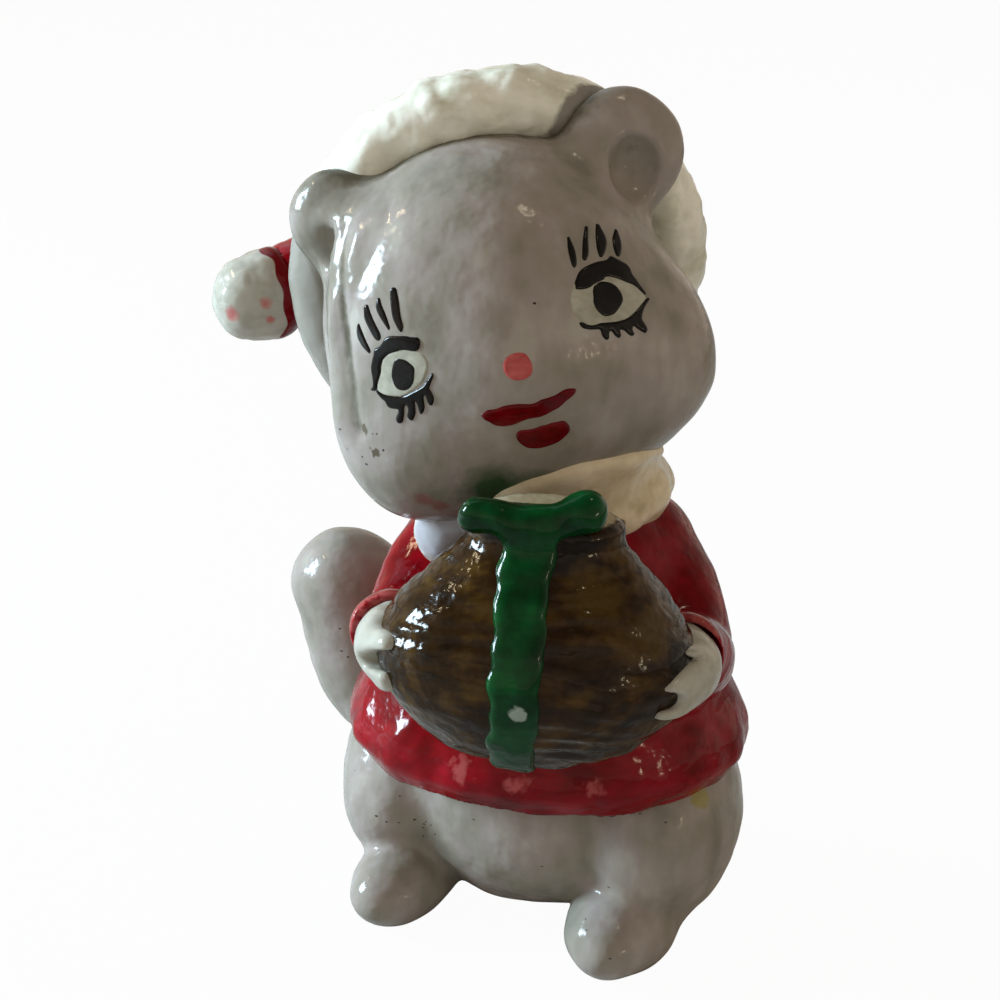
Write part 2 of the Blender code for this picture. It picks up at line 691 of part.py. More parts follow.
def make_ear(side, sign, radius, spread, lift, head):
    """A thick round ear with a dish in its front."""
    place = head_point(direction(sign * 90, 90 - spread), lift)
    place.y = EAR_SETBACK
    turn = (0, 0, sign * 15)
    ear = piece(
        f"ear_{side}",
        ball_mesh((radius, EAR_THICKNESS / 2, radius), 18, 12),
        FUR,
        location=place,
        turn=turn,
        parent=HEAD_FRAME,
    )
    bowl = radius - EAR_RIM
    lean = Euler(ear.rotation_euler).to_matrix()
    front = place + lean @ Vector((sign * EAR_RIM * 0.4, -EAR_THICKNESS / 2, -EAR_RIM * 0.4))
    dish = ball_mesh((bowl, EAR_DISH_DEPTH, bowl), 14, 8)
    boolean(ear, cutter(f"ear_dish_{side}", dish, front, turn, HEAD_FRAME))
    clear_of(ear, head)
    return ear


def make_brim(head, jacket, collar, ears):
    """The hat's fur brim round the face and the nape."""
    mesh = ring_mesh(BRIM_RADIUS_X, BRIM_RADIUS_Z, BRIM_THICKNESS, 28, 8)
    mesh.transform(Matrix.Rotation(math.radians(90), 4, "X"))
    brim = piece("hat_brim", mesh, WHITE, parent=HAT_FRAME)
    clear_of(brim, head, jacket, collar, *ears)
    return brim


def cone_path():
    """The middle line and radius of the hat's cone, in the head's frame."""
    return [tuple(share * BRIM_RADIUS_X for share in point) for point in CONE_SHARES]


def make_crown(head, jacket, collar, brim, ears):
    """The hat's crown behind the brim, with its cone drawn out to the mouse's right."""
    dome = ball_mesh((BRIM_RADIUS_X, CROWN_DEPTH, BRIM_RADIUS_Z), 22, 10)
    crown = piece("hat_crown", dome, RED, parent=HAT_FRAME)
    boolean(crown, block("before_brim", (-FAR, -FAR, -FAR), (FAR, 0, FAR), HAT_FRAME))
    cone = cutter("hat_cone", limb_mesh(cone_path(), 3, round_finish=False), parent=HEAD_FRAME)
    boolean(crown, cone, "UNION")
    clear_of(crown, head, jacket, collar, brim, *ears)
    return crown


def make_tip(crown):
    """The fur tip on the end of the cone."""
    before, end = (Vector(p).xyz for p in cone_path()[-2:])
    along = (end - before).normalized()
    start = end + along * SLIP_JOINT
    path = [
        (*start, TIP_RADIUS * 0.96),
        (*(start + along * TIP_REACH / 2), TIP_RADIUS),
        (*(start + along * TIP_REACH), TIP_RADIUS * 0.94),
    ]
    return piece("hat_tip", limb_mesh(path, 2, round_start=False), WHITE, parent=HEAD_FRAME)


def painted(name, yaw, pitch, rows, finish, closed=False):
    """A film of enamel on the head, lofted over rows of (across, up) points about a direction.

    Each row runs across the mark. A closed mark's last row meets its first, as round an eye.
    """
    way = direction(yaw, pitch)
    across = Vector((0, 0, 1)).cross(way).normalized()
    up = way.cross(across)
    reach = head_point(way).length
    bm = bmesh.new()
    layers = []
    for lift in (SLIP_JOINT, SLIP_JOINT + ENAMEL_FILM):
        layers.append([
            [bm.verts.new(head_point((way * reach + across * x + up * y).normalized(), lift)) for x, y in row]
            for row in rows
        ])
    under, over = layers
    span = list(zip(range(len(rows)), range(1, len(rows))))
    if closed:
        span.append((len(rows) - 1, 0))
    for i, j in span:
        for a, b in zip(range(len(rows[0])), range(1, len(rows[0]))):
            bm.faces.new((over[i][a], over[i][b], over[j][b], over[j][a]))
            bm.faces.new((under[i][a], under[j][a], under[j][b], under[i][b]))
        for edge in (0, -1):
            bm.faces.new((over[i][edge], over[j][edge], under[j][edge], under[i][edge]))
    if not closed:
        for end in (0, -1):
            bm.faces.new([*over[end], *reversed(under[end])])
    bmesh.ops.recalc_face_normals(bm, faces=bm.faces)
    mesh = bpy.data.meshes.new(name)
    bm.to_mesh(mesh)
    bm.free()
    return piece(name, mesh, finish, parent=HEAD_FRAME)


def stroke(points, steps=3):
    """Rows of three points across a brush stroke, from (across, up, half width) points along its middle.

    The points are in face units.
    """
    line = smooth_line([[c * FACE_UNIT for c in point] for point in points], steps)
    rows = []
    for i, place in enumerate(line):
        ahead, behind = line[min(i + 1, len(line) - 1)], line[max(i - 1, 0)]
        along = (ahead.xy - behind.xy).normalized()
        side = Vector((-along.y, along.x)) * place.z
        rows.append([place.xy - side, place.xy, place.xy + side])
    return rows


def oval(radius_x, radius_y, sides=16):
    """Rows of a filled oval, across it from one end to the other."""
    rows = []
    for i in range(sides // 2 + 1):
        angle = math.radians(8) + (math.pi - 2 * math.radians(8)) * i / (sides // 2)
        x, y = radius_x * math.cos(angle), radius_y * math.sin(angle)
        rows.append([(x, -y), (x, 0), (x, y)])
    return rows


def eye_outline(angle):
    """Distance from the middle of the iris to the edge of the eye's white. Angle 0 is the outer corner."""
    point = 0.12 * max(0.0, math.cos(angle)) ** 8
    oval_reach = 0.5 / math.hypot(math.cos(angle) / EYE_WIDTH, math.sin(angle) / EYE_HEIGHT)
    return oval_reach * (1 + point)


def make_eye(side, sign, yaw, pitch, lash_lean):
    """White, iris, lids and upper lashes of one eye."""
    yaw *= sign
    gap = SLIP_JOINT
    iris_x, iris_y = IRIS_WIDTH / 2, IRIS_HEIGHT / 2
    rows = []
    for i in range(EYE_SIDES):
        angle = 2 * math.pi * i / EYE_SIDES
        ray = Vector((math.cos(angle), math.sin(angle)))
        inner = gap + 1 / math.hypot(ray.x / iris_x, ray.y / iris_y)
        outer = eye_outline(angle)
        rows.append([(sign * ray.x * r, ray.y * r) for r in (inner, outer)])
    painted(f"eye_white_{side}", yaw, pitch, rows, WHITE, closed=True)
    painted(f"iris_{side}", yaw, pitch, oval(iris_x, iris_y), BLACK)
    upper = [
        (-3.3, 2.1, 0.5),
        (-1.9, 3.3, 0.7),
        (0.6, 3.7, 0.6),
        (2.9, 2.5, 0.5),
        (4.4, 0.6, 0.2),
    ]
    lower = [
        (-3.7, -1.1, 0.2),
        (-2.2, -2.6, 0.3),
        (0.4, -3.1, 0.3),
        (2.7, -2.6, 0.4),
        (4.5, -0.8, 0.2),
    ]
    for name, line in (("upper_lid", upper), ("lower_lid", lower)):
        rows = stroke([(sign * x, y, half) for x, y, half in line])
        painted(f"{name}_{side}", yaw, pitch, rows, BLACK)
    half_width = LASH_WIDTH / 2 / FACE_UNIT
    for i, (x, y) in enumerate(((-0.9, 6.6), (0.7, 6.8), (2.3, 6.5), (3.8, 5.5))):
        lean = math.radians(90 - 5 * x - lash_lean)
        half = Vector((math.cos(lean), math.sin(lean))) * LASH_LENGTH / 2 / FACE_UNIT
        line = [(x + k * half.x, y + k * half.y, half_width * (1 - 0.4 * abs(k))) for k in (-1, 0, 1)]
        rows = stroke([(sign * x, y, width) for x, y, width in line], 1)
        painted(f"lash_{side}_{i + 1}", yaw, pitch, rows, BLACK)


def make_mouth():
    """The nose and both lips."""
    painted("nose", 0, NOSE_PITCH, oval(NOSE_RADIUS, NOSE_RADIUS), PINK)
    upper = [
        (-5.1, 0.3, 0.4),
        (-2.8, 0.1, 1.0),
        (0.0, -0.1, 0.8),
        (2.6, 0.1, 0.9),
        (5.1, 0.0, 0.4),
    ]
    painted("upper_lip", 0, MOUTH_PITCH, stroke(upper), LIP_RED)
    lower = [(-2.7, 0.4, 0.6), (0.0, -0.1, 1.3), (2.8, -0.2, 0.6)]
    painted("lower_lip", 0, LOWER_LIP_PITCH, stroke(lower), LIP_RED)


head = make_head()
jacket = make_jacket(head)
make_neck_hole(jacket, head)
seat = make_seat(jacket)
haunches = [make_haunch(side, sign, seat, jacket) for side, sign in SIDES]
for (side, sign), haunch in zip(SIDES, haunches):
    make_foot(side, sign, seat, haunch)
make_tail(seat, haunches[0], jacket)
collar = make_collar(jacket, head)
gift = make_gift(jacket)
ribbon = make_ribbon(gift)
make_bow(gift, ribbon, head)
for side, sign in SIDES:
    sleeve = make_sleeve(side, sign, jacket, collar, gift)
    make_paw(side, sign, sleeve, gift)
ears = [
    make_ear("right", -1, EAR_RADIUS_RIGHT, EAR_SPREAD_RIGHT, EAR_LIFT_RIGHT, head),
    make_ear("left", 1, EAR_RADIUS_LEFT, EAR_SPREAD_LEFT, EAR_LIFT_LEFT, head),
]
brim = make_brim(head, jacket, collar, ears)
crown = make_crown(head, jacket, collar, brim, ears)
make_tip(crown)
make_eye("right", -1, EYE_YAW_RIGHT, EYE_PITCH_RIGHT, LASH_LEAN_RIGHT)
make_eye("left", 1, EYE_YAW_LEFT, EYE_PITCH_LEFT, LASH_LEAN_LEFT)
make_mouth()
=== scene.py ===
"""Looks of the seated mouse figurine: slip-cast earthenware, painted by hand and glazed.

The members of the figurine run into each other in soft fillets, so each glaze colour is one skin. A skin
is where a distance field in millimetres is zero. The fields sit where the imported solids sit.
"""

import math

import bmesh
import bpy
import numpy as np
import openvdb
from mathutils import Euler, Matrix, Quaternion, Vector, noise

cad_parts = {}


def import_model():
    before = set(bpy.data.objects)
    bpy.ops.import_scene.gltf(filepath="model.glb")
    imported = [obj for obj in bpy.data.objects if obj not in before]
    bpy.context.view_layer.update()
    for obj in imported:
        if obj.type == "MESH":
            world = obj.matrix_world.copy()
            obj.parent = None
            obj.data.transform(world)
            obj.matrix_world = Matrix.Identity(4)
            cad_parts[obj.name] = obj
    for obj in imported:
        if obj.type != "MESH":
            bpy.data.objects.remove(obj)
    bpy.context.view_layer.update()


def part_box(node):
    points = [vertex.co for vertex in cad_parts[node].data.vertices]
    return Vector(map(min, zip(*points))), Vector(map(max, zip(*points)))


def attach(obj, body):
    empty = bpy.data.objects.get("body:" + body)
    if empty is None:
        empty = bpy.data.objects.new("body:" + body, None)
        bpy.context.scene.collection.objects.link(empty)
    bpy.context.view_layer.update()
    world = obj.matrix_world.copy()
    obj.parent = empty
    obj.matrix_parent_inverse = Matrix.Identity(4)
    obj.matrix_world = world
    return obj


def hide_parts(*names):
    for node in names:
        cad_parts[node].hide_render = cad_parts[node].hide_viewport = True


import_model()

MM = 0.001
PITCH = 0.42     # of the grid that a skin is drawn from, in millimetres
DAB_PITCH = 0.11     # and of the one that a dab of enamel is drawn from

# Places, turns and sizes of the figurine's parts, in millimetres and degrees, mostly as in the solids
BODY_SETBACK = 4.9
SEAT_PLACE, SEAT_YAW = (0.7, 2.5, 0.0), -17.0
BELLY_PLACE, BELLY_RADII = (0, 0, 14.9), (18.0, 16.5, 14.8)
RUMP_PLACE, RUMP_RADII = (0, 6.5, 9.5), (13, 11, 11.5)
HAUNCH_PLACE, HAUNCH_RADII = (13.8, -0.8, 13.7), (10.0, 14.5, 13.0)
FOOT_PLACE, FOOT_RADII = (12.8, -11.8, 4.2), (5.2, 9.0, 5.0)
LEG_YAW = 8             # turn of the haunches and feet about Z, mirrored
HOLE_RADIUS, HOLE_SETBACK, HOLE_DEPTH = 3.2, 7.4, 9
JACKET_OFFSET = 0.5
GIFT_PLACE, GIFT_LEAN = (-0.6, -25.5, 31.8), 1.0
HEAD_PLACE, HEAD_TURN = (-6.8, -3.0, 71.4), (-7.0, -23.0, 8.0)
HAT_PLACE, HAT_TILT = (1.8, 7.0, 4.5), 20.5
CAST_WALL = 3.4
HAT_JOINT = 0.6         # between the ears and the hat
HEM_RADIUS, HEM_BOTTOM, HEM_LIP = 23.3, 21.0, 3.0
SHOULDER_RADIUS, SHOULDER_HEIGHT = 14.0, 47.8
NECK_RADIUS, NECK_TOP = 9.8, 56.0
SLEEVE_RADIUS, CUFF_RADIUS = 5.0, 5.1
ELBOW_SPREAD, ELBOW_REACH, ELBOW_HEIGHT = 15.3, 10.0, 37.2
PAW_RADIUS, PAW_LENGTH, PAW_WIDTH, PAW_HEIGHT = 4.0, 5.2, 3.7, 11.8
GIFT_RADIUS, GIFT_DEPTH_SHARE, GIFT_HEIGHT, GIFT_TOP = 16.5, 0.70, 27.2, 7.5
HEAD_RADII = np.array((18.6, 18.2, 20.5))
# Each swelling of the head is its yaw and pitch, its height and the angle that it spreads over.
SWELLINGS = ((70, -30, 4.6, 27), (-70, -30, 4.6, 27), (0, -12, 1.2, 20))
# Each ear is its side, its radius, its angle from the top of the head, its lift, and the offset (across,
# up) and the radii and depth of its dish.
EARS = (
    (-1, 5.2, 36, 0.8, (-2.0, -2.2), (3.2, 2.6, 1.3)),
    (1, 6.6, 56, 3.2, (0.8, -2.0), (3.0, 3.6, 2.8)),
)
EAR_SETBACK, EAR_THICKNESS, EAR_YAW = -1.2, 5.6, 15
BRIM_RADIUS_X, BRIM_RADIUS_Z, BRIM_THICKNESS = 19.1, 19.2, 4.1
# The middle line and radius of the hat's cone, as shares of the brim's radius
CONE_SHARES = (
    (0.00, 0.84, 0.37, 0.58), (-0.37, 1.05, 0.42, 0.47), (-0.74, 1.08, 0.46, 0.36),
    (-1.155, 0.905, 0.52, 0.255),
)
TIP_RADIUS, TIP_REACH = 5.2, 4.0

SIDES = (("right", -1), ("left", 1))


def placing(place, turn=(0, 0, 0)):
    """The matrix of a part's own frame."""
    return Matrix.Translation(place) @ Euler([math.radians(a) for a in turn]).to_matrix().to_4x4()


BODY = placing((0, -BODY_SETBACK, 0))
SEAT = BODY @ placing(SEAT_PLACE, (0, 0, SEAT_YAW))
GIFT = BODY @ placing(GIFT_PLACE, (0, GIFT_LEAN, 0))
HEAD = BODY @ placing(HEAD_PLACE, HEAD_TURN)
HAT = HEAD @ placing(HAT_PLACE, (HAT_TILT, 0, 0))


def world(points, part):
    """Points of a part's frame as seen from the figurine's."""
    turn = np.array(part)
    return points @ turn[:3, :3].T + turn[:3, 3]


def local(points, part):
    """Points of the figurine as seen from a part's frame."""
    return world(points, part.inverted())


# Forms: each gives the distance from points to a surface, negative inside it
def ellipsoid(points, centre, radii, yaw=0.0):
    """Distance to an ellipsoid."""
    turn = np.array(Matrix.Rotation(math.radians(yaw), 3, "Z"))
    near = (points - np.array(centre)) @ turn / np.array(radii)
    reach = np.linalg.norm(near, axis=1)
    return reach * (reach - 1) / np.maximum(np.linalg.norm(near / np.array(radii), axis=1), 1e-6)


def smooth_line(points, steps):
    """Points on the Catmull-Rom curve through the given ones."""
    points = [np.array(p, float) for p in points]
    ends = [2 * points[0] - points[1], *points, 2 * points[-1] - points[-2]]
    line = []
    for a, b, c, d in zip(ends, ends[1:], ends[2:], ends[3:]):
        for t in (i / steps for i in range(steps)):
            bend = (2 * a - 5 * b + 4 * c - d) * t**2 + (3 * b - a - 3 * c + d) * t**3
            line.append(0.5 * (2 * b + (c - a) * t + bend))
    return [*line, points[-1]]


def limb(points, path, steps=5):
    """Distance to a tube along a smooth line of (x, y, z, radius) points."""
    line = smooth_line(path, steps)
    best = np.full(len(points), 1e3)
    for a, b in zip(line, line[1:]):
        along = b[:-1] - a[:-1]
        share = np.clip((points - a[:-1]) @ along / (along @ along), 0, 1)
        off = np.linalg.norm(points - a[:-1] - share[:, None] * along, axis=1)
        best = np.minimum(best, off - (a[-1] + share * (b[-1] - a[-1])))
    return best


def ring(points, radius_x, radius_y, tube):
    """Distance to an oval ring about Z."""
    around = np.arctan2(points[:, 1] / radius_y, points[:, 0] / radius_x)
    middle = np.hypot(radius_x * np.cos(around), radius_y * np.sin(around))
    off = (np.hypot(points[:, 0] / radius_x, points[:, 1] / radius_y) - 1) * middle
    return np.hypot(off, points[:, 2]) - tube


def outline_distance(points, corners):
    """Distance in the plane to a closed outline."""
    nearest = np.full(len(points), 1e6)
    inside = np.zeros(len(points), bool)
    for a, b in zip(corners, np.roll(corners, -1, axis=0)):
        along = b - a
        share = np.clip((points - a) @ along / max(along @ along, 1e-9), 0, 1)
        off = points - a - share[:, None] * along
        nearest = np.minimum(nearest, (off * off).sum(axis=1))
        spans = (a[1] > points[:, 1]) != (b[1] > points[:, 1])
        rise = along[1] if abs(along[1]) > 1e-9 else 1e-9
        inside ^= spans & (points[:, 0] < a[0] + (points[:, 1] - a[1]) * along[0] / rise)
    return np.sqrt(nearest) * np.where(inside, -1, 1)


def turned(points, profile, squash):
    """Distance to a profile of (radius, height) points that is turned about Z and squashed along Y."""
    radius = np.hypot(points[:, 0], points[:, 1] / squash)
    mirrored = [*profile, *((-r, z) for r, z in reversed(profile) if r > 0)]
    return outline_distance(np.stack([radius, points[:, 2]], axis=1), np.array(mirrored))


def joined(a, b, fillet=0.0):
    """Two forms run together, with a soft fillet between them."""
    if not fillet:
        return np.minimum(a, b)
    near = np.maximum(fillet - np.abs(a - b), 0) / fillet
    return np.minimum(a, b) - near * near * fillet / 4


def common(a, b, fillet=0.0):
    """What two forms have in common."""
    return -joined(-a, -b, fillet)


def cut(a, b, fillet=0.0):
    """The first form with the second taken out of it."""
    return -joined(-a, b, fillet)


# From forms to meshes
def put(name, data):
    """A new object in the scene."""
    obj = bpy.data.objects.new(name, data)
    bpy.context.scene.collection.objects.link(obj)
    return obj


def mesh_object(name, places, faces):
    """A closed mesh in metres from places in millimetres, with its faces outwards."""
    mesh = bpy.data.meshes.new(name)
    mesh.from_pydata((places * MM).tolist(), [], [list(face) for face in faces])
    bm = bmesh.new()
    bm.from_mesh(mesh)
    bmesh.ops.recalc_face_normals(bm, faces=bm.faces)
    if bm.calc_volume(signed=True) < 0:
        bmesh.ops.reverse_faces(bm, faces=bm.faces)
    bm.to_mesh(mesh)
    bm.free()
    mesh.shade_smooth()
    return put(name, mesh)


def slope(form, places):
    """Unit normals of a form at places near its surface."""
    step = 0.05
    rise = np.stack([form(places + step * axis) - form(places - step * axis) for axis in np.eye(3)], axis=1)
    return rise / np.maximum(np.linalg.norm(rise, axis=1, keepdims=True), 1e-9)


def skin(name, form, low, high, relief, pitch=PITCH):
    """The surface of a form inside a box, raised by a relief in millimetres."""
    axes = [np.arange(a, b, pitch) for a, b in zip(low, high)]
    points = np.stack(np.meshgrid(*axes, indexing="ij"), axis=-1)
    field = form(points.reshape(-1, 3)).reshape(points.shape[:3])
    grid = openvdb.FloatGrid(10.0)
    grid.copyFromArray(np.ascontiguousarray(field, np.float32))
    places, quads = grid.convertToQuads(0.0)
    places = np.array(low) + places.astype(float) * pitch
    for _ in range(3):
        outward = slope(form, places)
        places = places - outward * form(places)[:, None]
    places = places + outward * relief(places)[:, None]
    return mesh_object(name, places, quads.tolist())


def paint(obj, name, mask):
    """Keeps a mask of 0 to 1 on a piece, for its material. The mask is a rule on points in millimetres."""
    places = np.empty(len(obj.data.vertices) * 3)
    obj.data.vertices.foreach_get("co", places)
    values = np.clip(mask(places.reshape(-1, 3) / MM), 0, 1)
    obj.data.attributes.new(name, "FLOAT", "POINT").data.foreach_set("value", values)


def spots(points, *places):
    """A mask round places of (x, y, z, radius) in millimetres, which is one half at the radius."""
    mask = np.zeros(len(points))
    for *place, radius in places:
        mask = np.maximum(mask, 1.25 - 0.75 * np.linalg.norm(points - place, axis=1) / radius)
    return mask


def lumps(points, size, height, seed=0.0):
    """Soft hand-modelled unevenness of about this size."""
    return np.array([noise.noise(Vector(p) / size + Vector((seed, 0, 0))) for p in points]) * height


def uneven(*layers):
    """A relief of lumps, in layers of (size, height, seed)."""
    return lambda points: sum(lumps(points, *layer) for layer in layers)


def dabs(points, size, height, seed=0.0):
    """The shallow dabs of a modelling tool, which stand for fur."""
    shift = Vector((seed, seed, 0))
    near = [noise.voronoi(Vector(p) / size + shift)[0][:2] for p in points]
    return (np.array([min(b - a, 0.5) for a, b in near]) * 4 - 1) * height


# Seat: belly, rump, haunches, feet and tail
TAIL_PATH = (
    (0.0, 11.5, 7.5, 5.8), (-10.2, 18.5, 11.2, 5.8), (-20.9, 19.6, 18.1, 7.4), (-25.5, 18.5, 31.2, 7.0),
)


def seat_form(points):
    """The grey lower body, with its hollow and pour hole."""
    p = local(points, SEAT)
    body = joined(ellipsoid(p, BELLY_PLACE, BELLY_RADII), ellipsoid(p, RUMP_PLACE, RUMP_RADII), 3)
    for _, sign in SIDES:
        mirror = np.array((sign, 1, 1))
        haunch = ellipsoid(p, mirror * HAUNCH_PLACE, HAUNCH_RADII, sign * LEG_YAW)
        foot = ellipsoid(p, mirror * FOOT_PLACE, FOOT_RADII, sign * LEG_YAW)
        body = joined(joined(body, haunch, 2.2), foot, 1.6)
    outer_side_of_left_foot = ellipsoid(p, (15.6, -8.4, 4.0), (4.0, 8.2, 4.8), LEG_YAW)
    body = joined(body, outer_side_of_left_foot, 2.0)
    body = joined(body, limb(local(points, BODY), TAIL_PATH), 2.0)
    body = common(body, -points[:, 2], 0.8)
    hollow = joined(ellipsoid(p, BELLY_PLACE, np.array(BELLY_RADII) - CAST_WALL),
                    ellipsoid(p, RUMP_PLACE, np.array(RUMP_RADII) - CAST_WALL))
    hollow = np.maximum(hollow, CAST_WALL - p[:, 2])
    hole = np.maximum(np.hypot(p[:, 0], p[:, 1] - HOLE_SETBACK) - HOLE_RADIUS, p[:, 2] - HOLE_DEPTH)
    return cut(body, joined(hollow, hole, 0.8), 0.6)


def seat_relief(points):
    """Thumbed unevenness, with flat foot undersides."""
    rough = lumps(points, 7, 0.35) + lumps(points, 2.6, 0.12, 5)
    return rough * np.clip(points[:, 2] / 1.5 - 0.2, 0, 1)


# Jacket and sleeves
JACKET_OUTLINE = (
    (NECK_RADIUS, NECK_TOP), (NECK_RADIUS * 1.08, (NECK_TOP + SHOULDER_HEIGHT) / 2),
    (SHOULDER_RADIUS, SHOULDER_HEIGHT), (17.8, 40.0), (20.3, 31.5), (HEM_RADIUS, 24.5),
    (HEM_RADIUS - HEM_LIP / 2, HEM_BOTTOM),
)
JACKET_FLOOR = 22.3     # the jacket's underside, inside the hem
JACKET_PROFILE = [
    (0, NECK_TOP),
    *smooth_line(JACKET_OUTLINE, 4),
    (HEM_RADIUS - HEM_LIP, HEM_BOTTOM),
    (HEM_RADIUS - 1.5 * HEM_LIP, JACKET_FLOOR),
    (0, JACKET_FLOOR),
]


def sleeve_path(sign):
    """The middle line and radius of a sleeve, from the shoulder to the wrist."""
    wrist = np.array(GIFT_PLACE) + (sign * (GIFT_RADIUS - 1.2), 4.5, PAW_HEIGHT)
    upper_arm, forearm = (SHOULDER_HEIGHT + ELBOW_HEIGHT) / 2, (ELBOW_HEIGHT + wrist[2]) / 2
    spread = sign * ELBOW_SPREAD
    return [
        (sign * SHOULDER_RADIUS * 0.8, 0, SHOULDER_HEIGHT - SLEEVE_RADIUS / 2, SLEEVE_RADIUS),
        (spread * 0.93, -0.4 * ELBOW_REACH, upper_arm - 0.3 * SLEEVE_RADIUS, SLEEVE_RADIUS),
        (spread, -ELBOW_REACH, ELBOW_HEIGHT, SLEEVE_RADIUS),
        (spread, -1.6 * ELBOW_REACH, forearm - 0.16 * SLEEVE_RADIUS, SLEEVE_RADIUS * 0.96),
        (*(wrist - (0, 0, 1.2)), CUFF_RADIUS * 0.82),
    ]


def cuff_distance(p, sign):
    """Distance past the opening of a cuff, in the body's frame."""
    before, wrist = (np.array(point[:3]) for point in sleeve_path(sign)[-2:])
    return (p - wrist) @ (wrist - before) / np.linalg.norm(wrist - before) - 2.6


def palm_form(points, sign, lift=0.0):
    """The back of a paw, on the side of the gift."""
    radii = np.array((PAW_RADIUS, PAW_LENGTH, PAW_WIDTH)) + lift
    return ellipsoid(local(points, GIFT), (sign * (GIFT_RADIUS - 1.6), 1.2, PAW_HEIGHT - 1.2), radii)


def jacket_form(points):
    """The jacket with its hem, run together with both sleeves, whose cuffs stand off the paws."""
    p = local(points, BODY)
    form = turned(p - (JACKET_OFFSET, 0, 0), JACKET_PROFILE, 0.88)
    for _, sign in SIDES:
        sleeve = common(limb(p, sleeve_path(sign)), cuff_distance(p, sign), 0.9)
        form = cut(joined(form, sleeve, 2.4), palm_form(points, sign, 0.4), 0.5)
    return form


def jacket_relief(points):
    """Dabbed unevenness, strongest on the fur hem, with a ragged lower edge."""
    hem = np.clip(1 - np.abs(points[:, 2] - 24.5) / 5, 0, 1)
    return lumps(points, 6, 0.45, 2) + lumps(points, 2.4, 0.12, 3) + hem * lumps(points, 3.2, 0.35, 7)


def worn_red(points):
    """Where the red paint is thin: on the rims of the cuffs and in scuffs on the hem."""
    p = local(points, BODY)
    rims = [0.75 - np.abs(cuff_distance(p, sign) + 0.5) / 1.2 - np.maximum(limb(p, sleeve_path(sign)) - 1, 0)
            for _, sign in SIDES]
    scuffs = spots(points, (-8.2, -23.6, 25.6, 1.6), (-2.1, -25.1, 25.0, 1.6), (6.3, -24.7, 24.8, 1.3))
    return np.maximum(np.maximum(*rims), 0.62 * scuffs)


# Gift with its ribbon
GIFT_OUTLINE = (
    (GIFT_TOP * 0.60, 1.0), (GIFT_TOP, 0.955), (GIFT_TOP * 1.10, 0.86), (GIFT_RADIUS * 0.80, 0.66),
    (GIFT_RADIUS, 0.45), (GIFT_RADIUS * 0.93, 0.27), (GIFT_RADIUS * 0.66, 0.09), (GIFT_RADIUS * 0.30, 0.01),
)
GIFT_SIDE = smooth_line([(r, z * GIFT_HEIGHT) for r, z in GIFT_OUTLINE], 4)
GIFT_PROFILE = [(0, GIFT_HEIGHT), *GIFT_SIDE, (0, 0)]
RIDGE_SPACING = 2.0     # of the brush's ridges


def gift_form(points):
    """The nut-shaped gift."""
    return turned(local(points, GIFT), GIFT_PROFILE, GIFT_DEPTH_SHARE)


def gift_relief(points):
    """Ridges that a stiff brush dragged across the wet clay."""
    p = local(points, GIFT)
    drift = lumps(p * (0.35, 0.35, 1), 5, 4.0, 11)
    deep = 0.5 + lumps(p * (0.6, 0.6, 0.6), 6, 0.9, 2)
    ridges = 0.11 * np.clip(deep, 0, 1.2) * np.sin((p[:, 2] + drift) * 2 * math.pi / RIDGE_SPACING)
    return ridges + lumps(p * (0.3, 0.3, 1.2), 1.8, 0.14, 4) + lumps(p, 6, 0.3, 5)


BOW_PATH = (
    (-6.7, -3.4, 26.9, 1.9), (-4.6, -3.8, 27.0, 1.8), (-1.6, -4.2, 26.8, 1.7), (1.6, -3.9, 27.3, 1.8),
    (3.9, -3.5, 28.2, 2.2),
)
RIBBON_MIDDLE, RIBBON_HALF_WIDTH, RIBBON_FILM = -1.65, 2.3, 0.7


def ribbon_form(points):
    """The ribbon down the gift's front, run together with the bow's two loops."""
    p = local(points, GIFT)
    wander = 0.18 * np.sin(p[:, 2] * 0.8 + 1.0) + 0.12 * np.sin(p[:, 2] * 1.9)
    over_gift = gift_form(points)
    half_width = RIBBON_HALF_WIDTH + 0.02 * p[:, 2]
    strip = common(over_gift - RIBBON_FILM, np.abs(p[:, 0] - RIBBON_MIDDLE - wander) - half_width, 1.2)
    strip = np.maximum(strip, np.maximum(p[:, 1] + 2.0, 1.2 - p[:, 2]))
    strip = np.maximum(strip, -1.5 - over_gift)
    strip = joined(strip, limb(p, BOW_PATH), 1.2)
    return np.maximum(strip, 0.15 - skull_form(points))


# Paws: the outline of each, as places round the gift's side, from its middle to the front, and heights
PAWS = {
    "right": (
        (-9, 14.2), (-2, 14), (0.4, 14.2), (1.4, 13.8), (2.1, 13.5), (3.7, 13.8), (5.6, 14), (6.7, 13.6),
        (7, 12.8), (4.5, 11.8), (2.7, 10.7), (1.7, 9.8), (2.4, 9.2), (4.2, 9.6), (6.5, 10.1), (7.2, 9.3),
        (6.5, 8), (4, 7.1), (0, 6.7), (-9, 6.7),
    ),
    "left": (
        (-9, 14.2), (-1, 14.2), (1.4, 14.2), (3, 14.4), (5, 14.3), (4.2, 13.7), (2.9, 13.2), (4.9, 13.2),
        (6.8, 12.9), (8.3, 12.4), (9.4, 11.6), (8.3, 11.2), (7.2, 10.4), (7, 9.6), (7.8, 9.2), (9, 9.2),
        (9.6, 8.8), (8.7, 8), (4, 7.3), (0, 6.7), (-9, 6.7),
    ),
}
PAW_ARC = 0.24          # millimetres along the gift's side for each degree round it
FINGER_THICKNESS = 1.0


